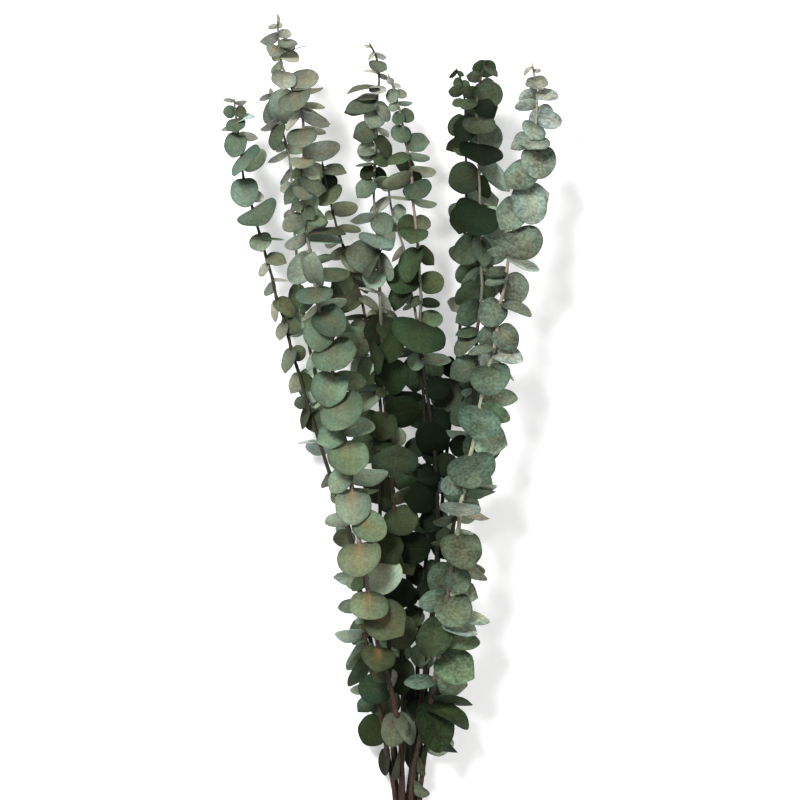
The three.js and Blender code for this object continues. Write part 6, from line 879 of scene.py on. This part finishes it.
def leaf_finish():
    n = Nodes("preserved_leaf")
    tone = n.attr("tone").outputs["Color"]
    lf = n.add("ShaderNodeSeparateXYZ")
    n.put(lf.inputs[0], n.attr("lf").outputs["Vector"])
    a, c, rnd = lf.outputs
    ax = n.add("ShaderNodeSeparateXYZ")
    n.put(ax.inputs[0], n.attr("aux").outputs["Vector"])
    red, mottle, side = ax.outputs
    pos = n.add("ShaderNodeTexCoord").outputs["Object"]
    shift = n.add("ShaderNodeCombineXYZ")
    n.put(shift.inputs[0], n.math("MULTIPLY", rnd, 3.1))
    n.put(shift.inputs[1], n.math("MULTIPLY", rnd, 7.7))
    n.put(shift.inputs[2], n.math("MULTIPLY", rnd, 5.3))
    vec = n.add("ShaderNodeVectorMath", operation="ADD")
    n.put(vec.inputs[0], pos)
    n.put(vec.inputs[1], shift.outputs[0])
    vec = vec.outputs[0]
    broad = n.ramp(n.noise(vec, 75.0, 3.0, 0.55), 0.32, 0.68, -1.0, 1.0)
    spots = n.ramp(n.noise(vec, 420.0, 3.0, 0.6), 0.35, 0.70, -1.0, 1.0)
    speck = n.ramp(n.noise(vec, 1500.0, 2.0, 0.6), 0.3, 0.7, -1.0, 1.0)
    ac = n.math("ABSOLUTE", c)
    # veins: a midrib, and fine side veins that sweep forwards
    mid = n.math("MULTIPLY", n.ramp(ac, 0.0, 0.075, 1.0, 0.0), n.ramp(a, 0.55, 1.0, 1.0, 0.15))
    wav = n.math("SINE", n.math("ADD", n.math("MULTIPLY", a, 46.0), n.math("MULTIPLY", ac, -15.0)))
    sidev = n.math("MULTIPLY", n.ramp(wav, 0.80, 1.0), n.ramp(ac, 0.55, 0.98, 1.0, 0.0))
    # base colour: mottled tone, with painted shade darkening it towards where the leaf leaves the twig
    gain = n.math("ADD", 1.0, n.math("MULTIPLY", n.math("ADD", n.math("MULTIPLY", broad, 0.15), n.math("MULTIPLY", spots, 0.21)), mottle))
    gain = n.math("ADD", gain, n.math("MULTIPLY", speck, 0.07))
    gain = n.math("MULTIPLY", gain, n.ramp(a, 0.0, 0.45, 0.62, 1.06))
    # painted light and shade: each leaf lighter on one side than the other, and lighter or darker towards its tip
    painted_side_shade = n.math("MULTIPLY", n.math("SINE", n.math("MULTIPLY", rnd, 37.0)), c)
    painted_tip_shade = n.math("MULTIPLY", n.math("SINE", n.math("MULTIPLY", rnd, 91.0)), n.math("SUBTRACT", a, 0.5))
    gain = n.math("MULTIPLY", gain, n.math("ADD", 1.0, n.math("ADD", n.math("MULTIPLY", painted_side_shade, 0.24), n.math("MULTIPLY", painted_tip_shade, 0.45))))
    # painted shade: each leaf a little darker towards its edges
    gain = n.math("MULTIPLY", gain, n.ramp(ac, 0.70, 1.0, 1.0, 0.84))
    col = n.scale(tone, gain)
    # hue drifts between blue-green and olive across a leaf
    inner = n.math("MULTIPLY", n.ramp(ac, 0.10, 0.85, 0.75, -0.65), n.ramp(a, 0.55, 1.0, 1.0, 0.35))
    hue = n.math("ADD", inner, n.math("MULTIPLY", n.ramp(n.noise(vec, 52.0, 2.0, 0.5), 0.34, 0.66, -1.0, 1.0), 0.45))
    warm = n.add("ShaderNodeVectorMath", operation="MULTIPLY")
    n.put(warm.inputs[0], col)
    warm.inputs[1].default_value = (1.10, 0.98, 0.90)
    cool = n.add("ShaderNodeVectorMath", operation="MULTIPLY")
    n.put(cool.inputs[0], col)
    cool.inputs[1].default_value = (0.90, 1.015, 1.03)
    col = n.mix(n.math("MAXIMUM", hue, 0.0), n.mix(n.math("MULTIPLY", n.math("MINIMUM", hue, 0.0), -1.0), col, cool.outputs[0]), warm.outputs[0])
    # bloom: a pale blue-grey wax that has rubbed off in places
    bloom = n.math("MULTIPLY", n.ramp(n.noise(vec, 110.0, 4.0, 0.65), 0.42, 0.72), 0.20)
    pale = n.add("ShaderNodeVectorMath", operation="MULTIPLY")
    n.put(pale.inputs[0], col)
    pale.inputs[1].default_value = (1.30, 1.30, 1.36)
    col = n.mix(n.math("MULTIPLY", bloom, n.math("MULTIPLY", mottle, 1.4)), col, pale.outputs[0])
    # veins a little paler, the midrib rusty towards the base of some leaves
    veined = n.scale(col, 1.22)
    col = n.mix(n.math("MULTIPLY", sidev, 0.35), col, veined)
    col = n.mix(n.math("MULTIPLY", mid, 0.45), col, veined)
    rust_w = n.ramp(ac, 0.0, 0.42, 1.0, 0.0)
    rust_l = n.ramp(a, 0.05, 0.75, 1.0, 0.0)
    rust = n.math("MULTIPLY", n.math("MULTIPLY", rust_w, rust_l), red, clamp=True)
    col = n.mix(n.math("MULTIPLY", rust, 0.5), col, (0.30, 0.165, 0.085, 1.0))
    # margin: a thin olive-brown line and a darker tip
    rim = n.math("MAXIMUM", n.ramp(ac, 0.88, 1.0), n.ramp(a, 0.93, 1.0))
    rimc = n.add("ShaderNodeVectorMath", operation="MULTIPLY")
    n.put(rimc.inputs[0], col)
    rimc.inputs[1].default_value = (0.86, 0.72, 0.52)
    col = n.mix(n.math("MULTIPLY", rim, n.ramp(n.noise(vec, 60.0, 1.0, 0.5), 0.40, 0.62, 0.15, 0.75)), col, rimc.outputs[0])
    # underside a shade greyer
    under = n.mix(0.45, col, n.scale(tone, 1.08))
    col = n.mix(n.ramp(side, -0.2, 0.2, 1.0, 0.0), col, under)
    rough = n.math("ADD", 0.58, n.math("MULTIPLY", spots, 0.07))
    h = n.math("ADD", n.math("MULTIPLY", mid, -0.6), n.math("ADD", n.math("MULTIPLY", sidev, 0.35), n.math("MULTIPLY", n.math("ADD", spots, n.math("MULTIPLY", speck, 0.5)), 0.22)))
    return n.finish(col, rough, 0.07, h, 0.7, 0.00045)


def twig_finish():
    n = Nodes("twig_bark")
    tone = n.attr("tone").outputs["Color"]
    lf = n.add("ShaderNodeSeparateXYZ")
    n.put(lf.inputs[0], n.attr("lf").outputs["Vector"])
    s, ct, st = lf.outputs
    v = n.add("ShaderNodeCombineXYZ")
    n.put(v.inputs[0], n.math("MULTIPLY", s, 5.0))
    n.put(v.inputs[1], ct)
    n.put(v.inputs[2], st)
    streak = n.ramp(n.noise(v.outputs[0], 2.4, 4.0, 0.62), 0.33, 0.67, -1.0, 1.0)
    v2 = n.add("ShaderNodeCombineXYZ")
    n.put(v2.inputs[0], n.math("MULTIPLY", s, 26.0))
    n.put(v2.inputs[1], ct)
    n.put(v2.inputs[2], st)
    fleck = n.ramp(n.noise(v2.outputs[0], 2.8, 3.0, 0.6), 0.35, 0.66, -1.0, 1.0)
    gain = n.math("ADD", 1.0, n.math("ADD", n.math("MULTIPLY", streak, 0.22), n.math("MULTIPLY", fleck, 0.12)))
    col = n.scale(tone, gain)
    warm = n.add("ShaderNodeVectorMath", operation="MULTIPLY")
    n.put(warm.inputs[0], col)
    warm.inputs[1].default_value = (1.16, 0.95, 0.82)
    col = n.mix(n.ramp(streak, -0.2, 0.9, 0.0, 0.6), col, warm.outputs[0])
    # pale scars and rubbed ridges, partly painted highlights as well
    scar_and_glint = n.math("MULTIPLY", n.ramp(fleck, 0.45, 0.95), 0.35)
    col = n.mix(scar_and_glint, col, n.scale(col, 2.2))
    rough = n.math("ADD", 0.60, n.math("MULTIPLY", fleck, 0.07))
    h = n.math("ADD", n.math("MULTIPLY", streak, 0.5), n.math("MULTIPLY", fleck, 0.3))
    return n.finish(col, rough, 0.10, h, 0.5, 0.0003)


# ------------------------------------------------------------------ the bunch
LEAF = leaf_finish()
TWIG = twig_finish()
for k, stem in enumerate(STEMS):
    P = np.array(stem["points"], float) + np.array(OFFSET)
    node = stem["name"]
    num = node[-2:]
    twig = twig_piece("twig_" + num, P, stem["radii"], [r[0] for r in stem["leaves"]], stem["twig"], 100 + k)
    twig.data.materials.append(TWIG)
    made = [twig]
    for half, tag in ((0, "a"), (1, "b")):
        rows = stem["leaves"][half::2]
        ob = leaf_piece("leaves_" + num + "_" + tag, stem, P, rows, 1000 * (k + 1) + 400 * half)
        ob.data.materials.append(LEAF)
        made.append(ob)
    for ob in made:
        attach(ob, "root")
        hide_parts(node)

# ------------------------------------------------------------------ the set
fm = Nodes("pale_floor")
fn = fm.noise(fm.add("ShaderNodeTexCoord").outputs["Object"], 3.0, 2.0, 0.5)
floor_col = fm.mix(fm.ramp(fn, 0.3, 0.7), (0.80, 0.80, 0.797, 1.0), (0.815, 0.815, 0.812, 1.0))
fm.finish(floor_col, 0.9, 0.1, fn, 0.02, 0.0005)
# painted light: the floor glows, fainter near the bunch and brighter further out, lifting the shadows on it
shade = [nd for nd in fm.tree.nodes if nd.bl_idname == "ShaderNodeBsdfPrincipled"][0]
shade.inputs["Emission Color"].default_value = (1.0, 1.0, 1.0, 1.0)
reach = fm.add("ShaderNodeVectorMath", operation="LENGTH")
fm.put(reach.inputs[0], fm.add("ShaderNodeTexCoord").outputs["Object"])
fm.put(shade.inputs["Emission Strength"], fm.ramp(reach.outputs["Value"], 0.8, 2.6, 0.40, 0.95))
bpy.ops.mesh.primitive_plane_add(size=9.0, location=(0, 0, 0))
floor = bpy.context.object
floor.name = "floor"
floor.data.materials.append(fm.mat)

scene = bpy.context.scene
world = bpy.data.worlds.new("studio")
scene.world = world
world.use_nodes = True
wt = world.node_tree
background = wt.nodes["Background"]
background.inputs[0].default_value = (1.0, 1.0, 1.0, 1.0)
# the studio's walls are seen white, and light the bunch more dimly
seen = wt.nodes.new("ShaderNodeLightPath")
level = wt.nodes.new("ShaderNodeMapRange")
level.inputs[3].default_value = 0.3
level.inputs[4].default_value = 1.0
wt.links.new(seen.outputs["Is Camera Ray"], level.inputs[0])
wt.links.new(level.outputs[0], background.inputs[1])


def softbox(name, loc, size, power, aim=(0.0, 0.0, 0.03)):
    li = bpy.data.lights.new(name, "AREA")
    li.shape = "RECTANGLE"
    li.size, li.size_y = size
    li.energy = power
    ob = bpy.data.objects.new(name, li)
    ob.location = loc
    v = np.array(loc) - np.array(aim)
    v = v / np.linalg.norm(v)
    ob.rotation_euler = (math.acos(v[2]), 0.0, math.atan2(v[0], -v[1]))
    scene.collection.objects.link(ob)
    return ob


lights = [
    softbox("key", (-0.75, 1.05, 1.75), (0.6, 0.6), 62.0),
    softbox("fill", (1.1, -0.5, 2.0), (1.2, 1.2), 17.0),
]

cam_d = bpy.data.cameras.new("camera")
cam = bpy.data.objects.new("camera", cam_d)
scene.collection.objects.link(cam)
cam_d.type = "PERSP"
cam_d.sensor_width = 36.0
cam_d.lens = 36.0 * 2.155 / 0.612
cam_d.clip_end = 50.0
cam_d.dof.use_dof = False
cam.location = (OFFSET[0] * MM, OFFSET[1] * MM, (2200.0 + OFFSET[2]) * MM)
cam.rotation_euler = (0.0, 0.0, 0.0)
scene.camera = cam
scene.view_settings.view_transform = "Standard"
scene.view_settings.look = "None"
scene.view_settings.exposure = 0.0
scene.view_settings.gamma = 1.0
